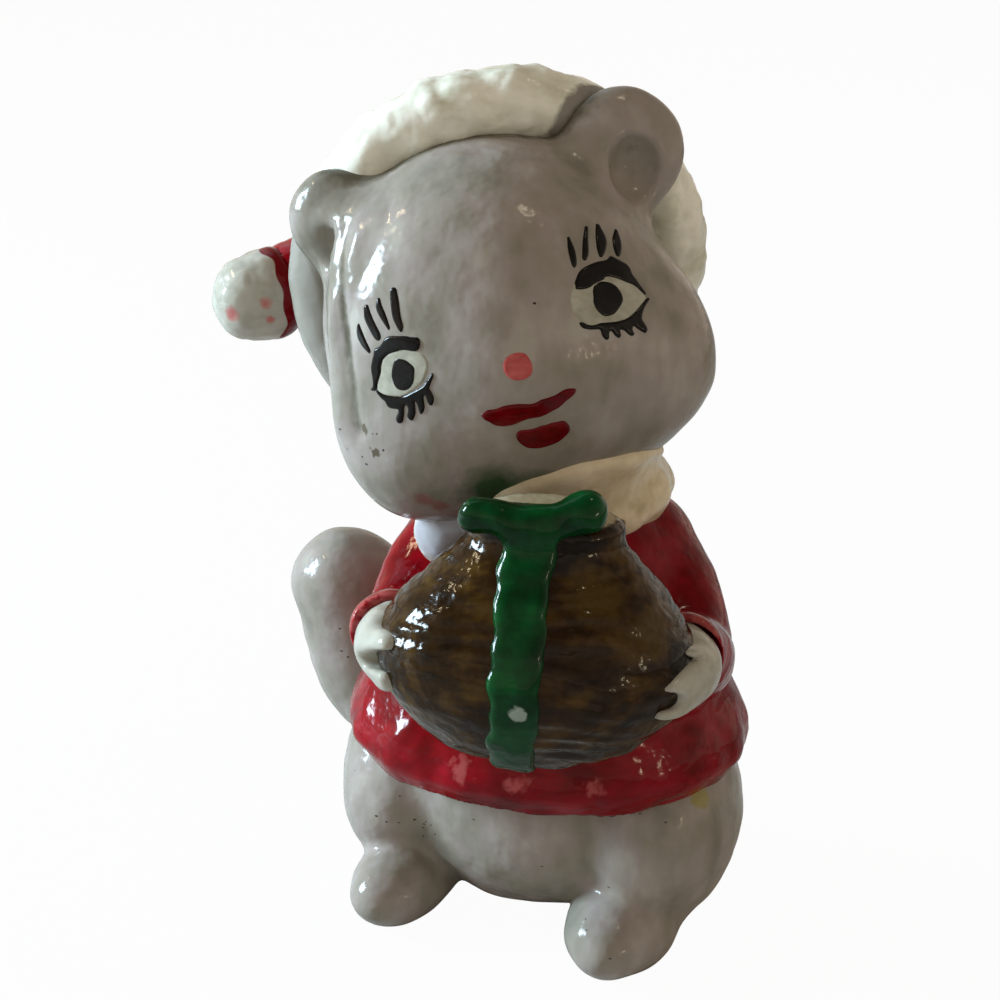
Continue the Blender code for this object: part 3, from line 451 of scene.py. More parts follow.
def paw_form(side, sign):
    """A paw round the side of the gift, with three short fingers."""
    outline = np.array(smooth_line([*PAWS[side], PAWS[side][0]], 2)[:-1])

    def form(points):
        p = local(points, GIFT)
        along = np.degrees(np.arctan2(-p[:, 1] / GIFT_DEPTH_SHARE, sign * p[:, 0])) * PAW_ARC
        over_gift = gift_form(points)
        fingers = np.maximum(over_gift - FINGER_THICKNESS, -0.8 - over_gift)
        spread = outline_distance(np.stack([along, p[:, 2]], axis=1), outline)
        return common(joined(palm_form(points, sign), fingers, 1.2), spread, 0.8)

    return form


# Head and ears
def direction(yaw, pitch):
    """A unit vector at a yaw and pitch in degrees. Yaw 0 is along -Y, to the front, and turns towards +X."""
    yaw, pitch = math.radians(yaw), math.radians(pitch)
    return np.array((math.sin(yaw) * math.cos(pitch), -math.cos(yaw) * math.cos(pitch), math.sin(pitch)))


def head_reach(ways):
    """From the head's centre to its surface, in each direction."""
    reach = 1 / np.linalg.norm(ways / HEAD_RADII, axis=1)
    for yaw, pitch, height, spread in SWELLINGS:
        apart = np.degrees(np.arccos(np.clip(ways @ direction(yaw, pitch), -1, 1))) / spread
        reach = reach + height * np.exp(-(apart**2))
    return reach


def skull_form(points):
    """The head without its ears."""
    p = local(points, HEAD)
    size = np.maximum(np.linalg.norm(p, axis=1), 1e-6)
    return size - head_reach(p / size[:, None])


def ear_place(sign, spread, lift):
    """The middle of an ear, in the head's frame."""
    way = direction(sign * 90, 90 - spread)
    place = way * (head_reach(way[None])[0] + lift)
    place[1] = EAR_SETBACK
    return place


def ears_form(points):
    """Both ears, whole."""
    p = local(points, HEAD)
    ears = [ellipsoid(p, ear_place(sign, spread, lift), (radius, EAR_THICKNESS / 2, radius), sign * EAR_YAW)
            for sign, radius, spread, lift, _, _ in EARS]
    return np.minimum(*ears)


def dishes_form(points):
    """The dishes of both ears."""
    p = local(points, HEAD)
    front = -EAR_THICKNESS / 2 - 0.2
    dishes = [ellipsoid(p, ear_place(sign, spread, lift) + (across, front, up), (wide, deep, tall))
              for sign, _, spread, lift, (across, up), (wide, tall, deep) in EARS]
    return np.minimum(*dishes)


def head_form(points):
    """The head, run together with both ears."""
    return cut(joined(skull_form(points), ears_form(points), 3.6), dishes_form(points), 0.7)


CREASE = (
    (-11.0, -6.6, 14.8, 0.1), (-12.6, -8.0, 12.4, 0.1), (-13.9, -9.0, 9.3, 0.1), (-15.1, -9.7, 5.5, 0.1),
    (-16.2, -10.1, 1.5, 0.1), (-17.1, -10.3, -1.5, 0.1), (-17.5, -10.6, -3.5, 0.1),
)
CREASE_DEPTH, LAID_FUR_HEIGHT = 0.26, 0.8


def crease_distance(points):
    """Distance to the crease down the mouse's right temple, where fur is laid over the face."""
    return limb(local(points, HEAD), CREASE, 3)


def head_relief(points):
    """Soft unevenness under the glaze, the crease, and the fur that stands behind it."""
    p = local(points, HEAD)
    off = crease_distance(points)
    behind = np.clip((p[:, 1] + 9.4 + 0.16 * np.abs(p[:, 2] - 2)) / 2.4, 0, 1) * (p[:, 0] < 0)
    laid = behind * np.clip(1.6 - off / 3.5, 0, 1) * np.clip((p[:, 2] + 6) / 3, 0, 1)
    rough = lumps(points, 8, 0.30, 1) + lumps(points, 3, 0.10, 6)
    return rough + LAID_FUR_HEIGHT * laid - CREASE_DEPTH * np.exp(-(off**2))


# Hat and collar
def brim_form(points):
    """The hat's fur brim, which ends at the ears and swells over the mouse's right cheek."""
    p = local(points, HAT)[:, [0, 2, 1]]
    around = np.degrees(np.arctan2(p[:, 1], p[:, 0])) % 360
    swell = 1.4 * np.clip(1 - ((around - 188) / 52) ** 2, 0, 1)
    brim = ring(p, BRIM_RADIUS_X - swell, BRIM_RADIUS_Z - swell, BRIM_THICKNESS + swell)
    return cut(brim, ears_form(points) + HAT_JOINT, 0.8)


def brim_relief(points):
    """Dabbed fur, which the brush smoothed where it is painted grey."""
    fur = dabs(points, 2.8, 0.09, 1) + lumps(points, 2.6, 0.40, 3)
    return lumps(points, 7, 0.35, 3) + fur * (1 - 0.7 * brim_grey(points))


def brim_grey(points):
    """Where the brim is painted grey: on the mouse's right, from the ear down, and round both ears."""
    p = local(points, HAT)
    around = np.degrees(np.arctan2(p[:, 2], p[:, 0])) % 360
    strip = np.clip(np.minimum(around - 143, 232 - around) / 4 + 0.5, 0, 1)
    beside_ear = np.clip(1.2 - ears_form(points) / 2.2, 0, 1) * (p[:, 0] > 0)
    return np.maximum(strip, beside_ear)


CONE_PATH = [tuple(share * BRIM_RADIUS_X for share in point) for point in CONE_SHARES]
CONE_END = np.array(CONE_PATH[-1][:3])
CONE_WAY = CONE_END - np.array(CONE_PATH[-2][:3])
CONE_WAY = CONE_WAY / np.linalg.norm(CONE_WAY)


def past_cone(points):
    """How far points lie past the end of the cone, along it."""
    return (local(points, HEAD) - CONE_END) @ CONE_WAY


def crown_form(points):
    """The hat's crown behind the brim, run together with its cone."""
    p, q = local(points, HEAD), local(points, HAT)
    dome = np.maximum(ellipsoid(q, (0, 0, 0), (BRIM_RADIUS_X, 15.0, BRIM_RADIUS_Z)), -q[:, 1])
    cone = common(limb(p, CONE_PATH), past_cone(points) - 0.4, 0.5)
    return cut(joined(dome, cone, 2.5), ears_form(points) + HAT_JOINT, 0.8)


def tip_form(points):
    """The fur tip on the end of the cone."""
    path = [
        (*(CONE_END + CONE_WAY * 0.3), TIP_RADIUS * 0.96),
        (*(CONE_END + CONE_WAY * TIP_REACH / 2), TIP_RADIUS),
        (*(CONE_END + CONE_WAY * TIP_REACH), TIP_RADIUS * 0.94),
    ]
    return common(limb(local(points, HEAD), path), -past_cone(points) - 0.1, 1.2)


def seam_red(points):
    """Where the red of the cone runs on over the root of the tip."""
    return 0.5 + (1.9 + lumps(points, 3.5, 1.4, 2) - past_cone(points))


def tip_relief(points):
    """Faint dabs of the tool."""
    return lumps(points, 3, 0.25, 12) + dabs(points, 2.6, 0.06, 5)


def collar_form(points):
    """The collar's fur ring round the neck, with a flap over one shoulder and a bib up to the chin."""
    p = local(points, BODY)
    flap = ellipsoid(p, (-11.4, -8.8, 49.6), (3.8, 3.2, 4.4))
    bib = common(skull_form(points) - 0.9, ellipsoid(p, (3.0, -9.0, 54.5), (12.3, 11.3, 7.9)), 1.4)
    return joined(joined(ring(p - (0, 0, NECK_TOP - 3.0), 9.6, 9.8, 3.6), flap, 2.0), bib, 4.5)


def collar_relief(points):
    """Fur in broad tooled lumps."""
    return dabs(points, 5.5, 0.12, 4) + lumps(points, 4, 0.5, 3)


# Face marks: a film of enamel has a thin skirt, rises over its shoulder, and its root is sunk in the head
ENAMEL_SKIRT, ENAMEL_SHOULDER, ENAMEL_ROOT = 0.14, 0.25, 0.35


def enamel_patch(name, yaw, pitch, mark, span, film):
    """A dab of enamel on the head. Its edge thins out where the mark's distance in the plane passes zero.

    yaw and pitch aim the plane at the head, span is (left, bottom, right, top) in it, and film is how high
    the enamel stands in the middle.
    """
    way = direction(yaw, pitch)
    across = np.cross((0, 0, 1), way)
    across /= np.linalg.norm(across)
    up = np.cross(way, across)
    reach = head_reach(way[None])[0]
    axes = [np.arange(a, b, DAB_PITCH) for a, b in zip(span[:2], span[2:])]
    flat = np.stack(np.meshgrid(*axes, indexing="ij"), axis=-1)
    shape = flat.shape[:2]
    far = mark(flat.reshape(-1, 2)).reshape(shape)
    kept = far < ENAMEL_SKIRT
    cells = kept[:-1, :-1] | kept[1:, :-1] | kept[:-1, 1:] | kept[1:, 1:]
    used = np.zeros(shape, bool)
    for i, j in ((0, 0), (1, 0), (0, 1), (1, 1)):
        used[i:shape[0] - 1 + i, j:shape[1] - 1 + j] |= cells
    index = np.full(shape, -1)
    index[used] = np.arange(used.sum())
    ways = way * reach + flat[used] @ np.stack([across, up])
    ways /= np.linalg.norm(ways, axis=1, keepdims=True)
    ground = world(ways * head_reach(ways)[:, None], HEAD)
    outward = slope(skull_form, ground)
    ground = ground + outward * head_relief(ground)[:, None]
    depth = np.clip(-far[used], -ENAMEL_SKIRT, ENAMEL_SHOULDER)
    rise = np.where(depth < 0, depth * 1.2, film * (1 - (1 - depth / ENAMEL_SHOULDER) ** 2))
    top, under = ground + outward * rise[:, None], ground - outward * ENAMEL_ROOT
    faces, count = [], len(ground)
    filled = np.zeros((shape[0] + 1, shape[1] + 1), bool)
    filled[1:-1, 1:-1] = cells
    for i, j in zip(*np.nonzero(cells)):
        a, b, c, d = index[i, j], index[i + 1, j], index[i + 1, j + 1], index[i, j + 1]
        faces += [(a, b, c, d), (d + count, c + count, b + count, a + count)]
        for across_by, up_by, e, f in ((0, 1, d, a), (2, 1, b, c), (1, 0, a, b), (1, 2, c, d)):
            if not filled[i + across_by, j + up_by]:
                faces.append((f, e, e + count, f + count))
    return mesh_object(name, np.concatenate([top, under]), faces)


def brush_stroke(points):
    """A mark along a smooth line of (across, up, half width) points."""
    return lambda flat: limb(flat, points)


# Glazes
def linear(colour):
    """Linear colour from an sRGB hex value."""
    parts = [int(colour[i:i + 2], 16) / 255 for i in (1, 3, 5)]
    return (*(c / 12.92 if c <= 0.04045 else ((c + 0.055) / 1.055) ** 2.4 for c in parts), 1)


def empty_tree(owner):
    """The node tree of a material or a world, without nodes."""
    owner.use_nodes = True
    owner.node_tree.nodes.clear()
    return owner.node_tree


def add(tree, kind, inputs=None, **settings):
    """Adds a node with its settings, its input values and its links."""
    node = tree.nodes.new(kind)
    for key, value in settings.items():
        setattr(node, key, value)
    for key, value in (inputs or {}).items():
        if isinstance(value, bpy.types.NodeSocket):
            tree.links.new(value, node.inputs[key])
        else:
            node.inputs[key].default_value = value
    return node


GLAZE_IOR = 1.27        # a glaze's typical 1.5, lowered to match the photograph
RIPPLE_SIZE = 1.5       # of the glaze's own ripples, in millimetres
STAIN_GRAIN = 1.1       # of what breaks up the edge of a stain
THIN_PAINT, PAINT_RANGE = 0.34, 0.32    # where the noise of the thickness starts, and how far it goes


def glazed(name, tones, pool, brush, turn=(0, 0, 0), gloss=0.16, ripples=0.16, overlays=()):
    """Painted earthenware under a clear glaze: colour in pools and brush marks, and a rippled glassy surface.

    tones go from thin to thick paint. pool is the size of a pool and brush the (length, width) of a brush
    mark, in millimetres. ripples is how high the glaze ripples, which breaks a lamp's reflection into specks.
    Each overlay is a real stain or a patch of painted light and shade: an attribute, a colour, how much its
    edge is broken up and how soft it is.
    """
    material = bpy.data.materials.new(name)
    tree = empty_tree(material)
    place = add(tree, "ShaderNodeTexCoord").outputs["Object"]
    turned_place = add(tree, "ShaderNodeMapping", {
        "Vector": place, "Rotation": [math.radians(a) for a in turn]})
    length, width = brush
    pools = add(tree, "ShaderNodeTexNoise", {"Vector": place, "Scale": 1 / (pool * MM), "Detail": 3.0})
    strokes = add(tree, "ShaderNodeMapping", {
        "Vector": turned_place.outputs[0],
        "Scale": (1 / (length * MM), 1 / (width * MM), 1 / (width * MM)),
    })
    marks = add(tree, "ShaderNodeTexNoise", {"Vector": strokes.outputs[0], "Scale": 1.0, "Detail": 4.0})
    thickness = add(tree, "ShaderNodeMix", {
        "Factor": 0.4, "A": pools.outputs["Fac"], "B": marks.outputs["Fac"]}, data_type="FLOAT")
    ramp = add(tree, "ShaderNodeValToRGB", {"Fac": thickness.outputs[0]})
    stops = ramp.color_ramp.elements
    while len(stops) < len(tones):
        stops.new(0.5)
    for i, (stop, tone) in enumerate(zip(stops, tones)):
        stop.position = THIN_PAINT + PAINT_RANGE * i / (len(tones) - 1)
        stop.color = linear(tone)
    colour = ramp.outputs["Color"]
    edge = add(tree, "ShaderNodeTexNoise", {"Vector": place, "Scale": 1 / (STAIN_GRAIN * MM), "Detail": 4.0})
    # each layer's colour is a real stain, or painted light and shade such as a glint or the shade in a hollow
    for attribute, stain, broken, soft in overlays:
        mask = add(tree, "ShaderNodeAttribute", attribute_name=attribute)
        shifted = add(tree, "ShaderNodeMath", {0: edge.outputs["Fac"], 1: broken, 2: mask.outputs["Fac"]},
                      operation="MULTIPLY_ADD")
        edge_at = 0.5 + broken / 2
        covered = add(tree, "ShaderNodeMapRange", {
            "Value": shifted.outputs[0], "From Min": edge_at - soft, "From Max": edge_at + soft})
        colour = add(tree, "ShaderNodeMix", {"Factor": covered.outputs[0], "A": colour, "B": linear(stain)},
                     data_type="RGBA").outputs["Result"]
    ripple = add(tree, "ShaderNodeTexNoise", {"Vector": place, "Scale": 1 / (RIPPLE_SIZE * MM), "Detail": 1.0})
    height = add(tree, "ShaderNodeMix", {
        "Factor": 0.7, "A": marks.outputs["Fac"], "B": ripple.outputs["Fac"]}, data_type="FLOAT")
    bump = add(tree, "ShaderNodeBump", {
        "Height": height.outputs[0], "Strength": 1.0, "Distance": ripples * MM})
    shader = add(tree, "ShaderNodeBsdfPrincipled", {
        "Base Color": colour, "Roughness": gloss, "IOR": GLAZE_IOR, "Normal": bump.outputs[0]})
    add(tree, "ShaderNodeOutputMaterial", {"Surface": shader.outputs[0]})
    return material


# Grey slip brushed over the cast clay: soft and cloudy, darkened by painted shade and by slip that collected
# under the brim and in the crease, with a wet shine over it
FUR = glazed("glazed_grey_slip", ("#a59f95", "#988e88", "#8c857a", "#7b766b"), 7, (9, 3.0), turn=(0, 90, 0),
             overlays=(("pooled_glaze_and_painted_shade", "#5c574a", 0.5, 0.2), ("leaf", "#3a5034", 0.5, 0.37),
                     ("blush", "#8c6660", 0.8, 0.28), ("ochre", "#8d8350", 1.2, 0.18),
                     ("soot", "#5d5446", 1.6, 0.08)))
# White slip: milky, with smudges of the red that was painted next to it
WHITE = glazed("glazed_white_slip", ("#b9b5aa", "#aca89c", "#9a9689"), 5, (4, 1.6), overlays=(
    ("blush", "#b4706a", 0.8, 0.28), ("felt", "#6c000a", 0.2, 0.06)))
# Thick white slip on the modelled fur of the hat: the brightest tone, which lets the dabs' shadows show
FLEECE = glazed("glazed_white_fur", ("#f4f1e6", "#e6e4d6", "#cbc8b4"), 5, (4, 1.6), overlays=(
    ("grey", "#8b867d", 0.5, 0.12),))
# The same slip on the collar: creamy in the shade of the chin, painted cool with window light and shade on its
# flap, and darkened in one small spot by painted shade and collected glaze
WARM_FLEECE = glazed("glazed_warm_white_fur", ("#ecdcc0", "#decdae", "#c6b38e"), 5, (4, 1.6), overlays=(
    ("painted_window_light_and_shade", "#adabb0", 0.5, 0.2), ("pooled_glaze_and_painted_shade", "#3a2c18", 0.5, 0.1)))
# Red underglaze paint: deep and glassy, and pale on rims and scuffs, where it is thin
RED = glazed("glazed_red_paint", ("#8e0014", "#78000d", "#5c0006"), 6, (5, 1.6), gloss=0.13, overlays=(
    ("worn", "#a04644", 1.3, 0.15),))
# Green underglaze paint laid thick: dark and glassy, nearly black where it is thickest
GREEN = glazed("glazed_green_paint", ("#01461c", "#003413", "#002009"), 4, (5, 1.6), gloss=0.13, overlays=(
    ("worn", "#8b988c", 1.0, 0.1),))
# Brown stain dragged round by a stiff brush: dark streaks, golden patches that are painted highlights, and
# glints broken up by the ridges
BROWN = glazed("glazed_brown_stain", ("#4c3612", "#2a1906", "#130a01"), 4, (16, 1.2), gloss=0.12, ripples=0.26,
               overlays=(("dark", "#140b03", 0.9, 0.1), ("painted_golden_glint", "#463311", 1.0, 0.24),
                       ("cream", "#a99c80", 0.6, 0.1), ("leaf", "#06381a", 0.8, 0.1)))
# Black enamel, painted on top and fired: smooth raised strokes that catch a thin glint along their edges
BLACK = glazed("black_enamel", ("#1a1512", "#110d0a", "#0a0806"), 3, (3, 0.5), ripples=0.07)
# White enamel: flat and a little chalky
EYE_WHITE = glazed("white_enamel", ("#b0ad9f", "#a29f90", "#918e7e"), 2, (2, 0.6))
# Pink enamel: a round drop that shades towards its edge
PINK = glazed("pink_enamel", ("#c46260", "#b4504e", "#a03f3e"), 2, (2, 0.6))
# Crimson enamel: dark and thick, with the marks of a fine brush
LIP = glazed("crimson_enamel", ("#70000c", "#5c0007", "#480004"), 3, (3, 0.5))
# Iron in the clay that burnt through the glaze: dull dark pinpoints
SPECK = glazed("burnt_iron_speck", ("#4a4436", "#363024", "#241f16"), 1, (1, 0.5))


PITS_CROWD = 60.0       # how many times more specks there are where a piece is pitted


def kiln_specks(host, density, size, seed):
    """Specks of iron that burnt through the glaze, with many more where the host's attribute says pits.

    density is per square metre and size a speck's radius in millimetres, drawn a little coarse so that it
    shows.
    """
    tree = bpy.data.node_groups.new("kiln_specks", "GeometryNodeTree")
    inputs = {}
    for name, kind in (("Surface", "Geometry"), ("Density", "Float"), ("Size", "Float"), ("Seed", "Int"),
                       ("Material", "Material")):
        socket = tree.interface.new_socket(name, in_out="INPUT", socket_type=f"NodeSocket{kind}")
        inputs[name] = socket.identifier
    tree.interface.new_socket("Specks", in_out="OUTPUT", socket_type="NodeSocketGeometry")
    given = add(tree, "NodeGroupInput").outputs
    pits = add(tree, "GeometryNodeInputNamedAttribute", {"Name": "pits"}, data_type="FLOAT")
    crowd = add(tree, "ShaderNodeMath", {0: pits.outputs["Attribute"], 1: PITS_CROWD, 2: 1.0},
                operation="MULTIPLY_ADD")
    density_here = add(tree, "ShaderNodeMath", {0: crowd.outputs[0], 1: given["Density"]},
                       operation="MULTIPLY")
    places = add(tree, "GeometryNodeDistributePointsOnFaces", {
        "Mesh": given["Surface"], "Density": density_here.outputs[0], "Seed": given["Seed"]})
    bead = add(tree, "GeometryNodeMeshIcoSphere", {"Radius": 1.0, "Subdivisions": 2})
    shape = add(tree, "FunctionNodeRandomValue", {0: (0.6, 0.4, 0.2), 1: (1.6, 0.9, 0.3)},
                data_type="FLOAT_VECTOR")
    scale = add(tree, "ShaderNodeVectorMath", {0: shape.outputs[0], "Scale": given["Size"]},
                operation="SCALE")
    beads = add(tree, "GeometryNodeInstanceOnPoints", {
        "Points": places.outputs["Points"], "Instance": bead.outputs["Mesh"],
        "Rotation": places.outputs["Rotation"], "Scale": scale.outputs[0]})
    solid = add(tree, "GeometryNodeRealizeInstances", {"Geometry": beads.outputs[0]})
    stained = add(tree, "GeometryNodeSetMaterial", {
        "Geometry": solid.outputs[0], "Material": given["Material"]})
    add(tree, "NodeGroupOutput", {0: stained.outputs[0]})
    carrier = put("carrier", host.data)
    modifier = carrier.modifiers.new("specks", "NODES")
    modifier.node_group = tree
    for name, value in (("Density", density), ("Size", size * MM), ("Seed", seed), ("Material", SPECK)):
        modifier[inputs[name]] = value
    graph = bpy.context.evaluated_depsgraph_get()
    mesh = bpy.data.meshes.new_from_object(carrier.evaluated_get(graph), depsgraph=graph)
    bpy.data.objects.remove(carrier)
    dress(put(f"kiln_specks_on_{host.name}", mesh), SPECK, "brown_glaze")


def dress(obj, material, slot, *nodes):
    """Gives a finished piece its glaze, hangs it from the root, and hides the solids that it stands for."""
    obj.data.materials.clear()
    obj.data.materials.append(material)
    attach(obj, "root")
    if nodes:
        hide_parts(*nodes)
    return obj


def box_round(*nodes, margin=2.5):
    """A box round solids, in millimetres."""
    corners = [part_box(node) for node in nodes]
    low = np.min([a for a, _ in corners], axis=0) / MM - margin
    high = np.max([b for _, b in corners], axis=0) / MM + margin
    return low, high


def member(name, nodes, form, relief, material, slot, masks=None, margin=2.5):
    """Makes the glazed skin that stands for these solids, with the masks of its stain layers and of its painted
    light and shade.
    """
    obj = skin(name, form, *box_round(*nodes, margin=margin), relief)
    for attribute, mask in (masks or {}).items():
        paint(obj, attribute, mask)
    return dress(obj, material, slot, *nodes)


def spots_at(*places):
    """The mask of spots as a rule on points."""
    return lambda points: spots(points, *places)


def head_pooled_glaze_and_shade(points):
    """Painted shade, darkened further by grey slip that collected there: under the brim, in the crease and
    beside an ear.
    """
    return np.maximum.reduce([
        1 - brim_form(points) / 2.6,
        0.75 - crease_distance(points) / 1.6,
        spots(points, (-23.3, -11.1, 83.7, 1.2)),
    ])


body = member(
    "lower_body", ("seat_casting", "haunch_right", "haunch_left", "foot_right", "foot_left", "tail"),
    seat_form, seat_relief, FUR, "grey_glaze", {
        "ochre": spots_at((18.0, -16.6, 20.9, 1.5), (18.3, -15.6, 22.0, 1.0)),
        "pits": spots_at((-15.6, -12.9, 13.3, 1.9), (-12.6, -13.1, 12.6, 1.2), (-10.0, -15.2, 15.3, 1.4),
                         (10.9, -19.7, 19.7, 0.9), (11.0, -24.8, 6.0, 0.8), (6.8, -23.3, 7.4, 1.0)),
    })
kiln_specks(body, 9000.0, 0.14, 4)
member("jacket_with_sleeves", ("jacket", "sleeve_right", "sleeve_left"), jacket_form, jacket_relief,
       RED, "red_glaze", {"worn": worn_red})
member("gift_nut", ("gift",), gift_form, gift_relief, BROWN, "brown_glaze", {
    "dark": spots_at((2.9, -35.4, 57.0, 1.6), (1.5, -35.9, 55.5, 1.6), (14.0, -35.0, 45.0, 2.4),
                     (14.0, -35.0, 41.5, 2.2), (-16.0, -34.0, 41.5, 2.6)),
    # painted highlights: golden glints of the lamps on the gift's upper right
    "painted_golden_glint": spots_at((5.8, -37.6, 53.0, 3.0), (10.4, -36.4, 48.0, 2.4)),
    "cream": lambda points: np.clip(local(points, GIFT)[:, 2] - 25.9, 0, 1),
    "leaf": spots_at((-4.6, -33.0, 58.8, 0.8), (-1.2, -33.6, 59.0, 0.5), (0.9, -33.0, 59.0, 0.6)),
})
member("ribbon_and_bow", ("ribbon_band", "bow_right", "bow_left"), ribbon_form, uneven((2.4, 0.22, 8)),
       GREEN, "green_glaze", {"worn": spots_at((-1.6, -42.2, 41.8, 0.9))})
for side, sign in SIDES:
    member(f"paw_{side}_fingers", (f"paw_{side}",), paw_form(side, sign), uneven((2.5, 0.12, 2)),
           WHITE, "white_glaze")
head = member(
    "head_with_ears", ("head", "ear_right", "ear_left"), head_form, head_relief, FUR, "grey_glaze", {
        # painted shade under the brim, in the crease and beside an ear, with slip that collected there
        "pooled_glaze_and_painted_shade": head_pooled_glaze_and_shade,
        "soot": spots_at((-19.3, -21.2, 62.8, 0.6), (-18.0, -21.7, 60.6, 0.8), (-19.0, -20.6, 65.6, 0.4)),
        "leaf": spots_at((-5.9, -22.2, 57.4, 3.0), (-2.0, -21.6, 57.0, 2.6)),
        "blush": spots_at((-13.1, -22.0, 55.7, 1.0), (-11.6, -21.4, 55.0, 0.9)),
        "pits": spots_at((-18.9, -21.6, 61.2, 2.2), (-23.3, -11.1, 83.7, 0.8)),
    })
kiln_specks(head, 2200.0, 0.15, 3)
member("fur_brim", ("hat_brim",), brim_form, brim_relief, FLEECE, "white_glaze", {"grey": brim_grey})
member("felt_crown", ("hat_crown",), crown_form, uneven((7, 0.5, 9), (3, 0.15, 2)), RED, "red_glaze")
member("fur_tip", ("hat_tip",), tip_form, tip_relief, WHITE, "white_glaze", {
    "blush": spots_at((-37.6, 0.6, 68.3, 0.8), (-33.8, 1.0, 69.8, 0.7), (-33.4, 1.2, 67.8, 0.5)),
    "felt": seam_red,
})
member("fur_collar", ("collar",), collar_form, collar_relief, WARM_FLEECE, "white_glaze", {
    # a small spot of painted shade with collected glaze
    "pooled_glaze_and_painted_shade": spots_at((7.1, -15.9, 51.8, 0.9)),
    # painted cool window light and shade on the collar's flap
    "painted_window_light_and_shade": spots_at((-12.0, -17.0, 50.0, 4.5)),
}, margin=5)

# Face marks, as (across, up) points in hundredths of a millimetre about a (yaw, pitch) from the head's
# centre. A lash has a half width at each of its points.
EYE_CENTRES = {"right": (-35, 2.7), "left": (37, 1.8)}
EYE_MARKS = {
    "eye_white_right": (
        (-208, 201), (-125, 238), (-13, 251), (101, 243), (214, 206), (287, 168), (326, 73), (285, -34),
        (186, -128), (41, -178), (-95, -204), (-215, -184), (-332, -140), (-395, -78), (-352, -2), (-276, 88),
    ),
    "iris_right": (
        (-123, 90), (-73, 153), (-24, 180), (38, 172), (92, 144), (137, 97), (167, 42), (139, -31), (106, -97),
        (42, -146), (-27, -162), (-97, -146), (-144, -104), (-158, -39), (-151, 33),
    ),
    "upper_lid_right": (
        (316, 290), (304, 330), (225, 354), (169, 377), (73, 399), (-27, 420), (-100, 409), (-153, 371),
        (-220, 342), (-276, 331), (-306, 284), (-348, 227), (-397, 151), (-410, 69), (-430, -11), (-459, -48),
        (-494, -58), (-469, -77), (-412, -86), (-374, -61), (-366, -21), (-321, 23), (-279, 78), (-258, 137),
        (-211, 191), (-158, 223), (-82, 245), (-2, 244), (65, 251), (146, 227), (212, 201), (263, 206),
        (308, 249),
    ),
    "lower_lid_right": (
        (322, -65), (349, -61), (329, -110), (286, -153), (249, -198), (253, -232), (260, -301), (227, -360),
        (188, -377), (167, -343), (172, -277), (156, -256), (136, -301), (116, -373), (77, -419), (41, -431),
        (33, -395), (42, -319), (33, -284), (8, -354), (-19, -414), (-73, -466), (-105, -457), (-121, -408),
        (-84, -352), (-85, -298), (-120, -322), (-145, -380), (-186, -446), (-230, -462), (-258, -439),
        (-252, -397), (-204, -344), (-206, -317), (-262, -299), (-315, -268), (-333, -213), (-373, -174),
        (-409, -117), (-423, -74), (-381, -80), (-351, -116), (-281, -150), (-187, -179), (-82, -202),
        (10, -192), (103, -177), (187, -155), (254, -112),
    ),
    "eye_white_left": (
        (-286, 291), (-362, 222), (-411, 130), (-426, 25), (-398, -76), (-312, -166), (-154, -209), (25, -260),
        (180, -260), (313, -217), (436, -169), (422, -63), (347, 46), (236, 147), (116, 231), (-84, 270),
    ),
    "iris_left": (
        (-130, 143), (-78, 188), (9, 196), (75, 168), (131, 122), (165, 63), (177, -8), (167, -70),
        (130, -109), (73, -140), (7, -167), (-58, -167), (-124, -145), (-164, -96), (-184, -33), (-183, 33),
        (-154, 87),
    ),
    "upper_lid_left": (
        (-300, 240), (-275, 286), (-217, 341), (-153, 382), (-77, 395), (7, 394), (101, 383), (205, 359),
        (262, 373), (294, 372), (330, 334), (375, 287), (427, 226), (440, 161), (428, 107), (448, 29),
        (461, -56), (469, -126), (443, -139), (409, -80), (369, -8), (299, 43), (235, 102), (160, 166),
        (95, 199), (58, 186), (3, 187), (-65, 188), (-136, 179), (-221, 194), (-284, 222),
    ),
    "lower_lid_left": (
        (-417, -90), (-370, -98), (-327, -144), (-265, -174), (-190, -178), (-92, -212), (-3, -238),
        (104, -255), (189, -242), (285, -217), (358, -192), (411, -181), (463, -174), (477, -197), (434, -212),
        (370, -241), (315, -283), (279, -333), (287, -379), (292, -445), (253, -472), (226, -450), (186, -401),
        (156, -357), (129, -389), (133, -434), (94, -440), (60, -404), (32, -355), (-8, -333), (-18, -384),
        (-50, -404), (-85, -368), (-108, -304), (-137, -314), (-157, -361), (-196, -367), (-224, -312),
        (-221, -247), (-273, -221), (-348, -190), (-405, -145),
    ),
}
LASHES = {
    "right": (
        ((119, 906, 48), (115, 761, 57), (109, 611, 54), (126, 496, 40), (127, 452, 22)),
        ((-98, 847, 27), (-104, 764, 47), (-67, 651, 43), (-25, 529, 24), (-20, 495, 13)),
        ((-297, 798, 42), (-290, 690, 60), (-248, 578, 59), (-199, 467, 53), (-186, 432, 28)),
        ((-471, 626, 28), (-464, 532, 53), (-420, 424, 48), (-369, 338, 30), (-360, 315, 15)),
    ),
    "left": (
        ((-73, 762, 19), (-120, 625, 43), (-166, 496, 36), (-184, 456, 18)),
        ((216, 779, 24), (105, 653, 34), (21, 534, 39), (-28, 482, 29)),
        ((379, 739, 32), (310, 597, 72), (230, 497, 59), (174, 432, 28)),
        ((593, 600, 26), (502, 490, 64), (436, 408, 56), (394, 360, 33)),
    ),
}
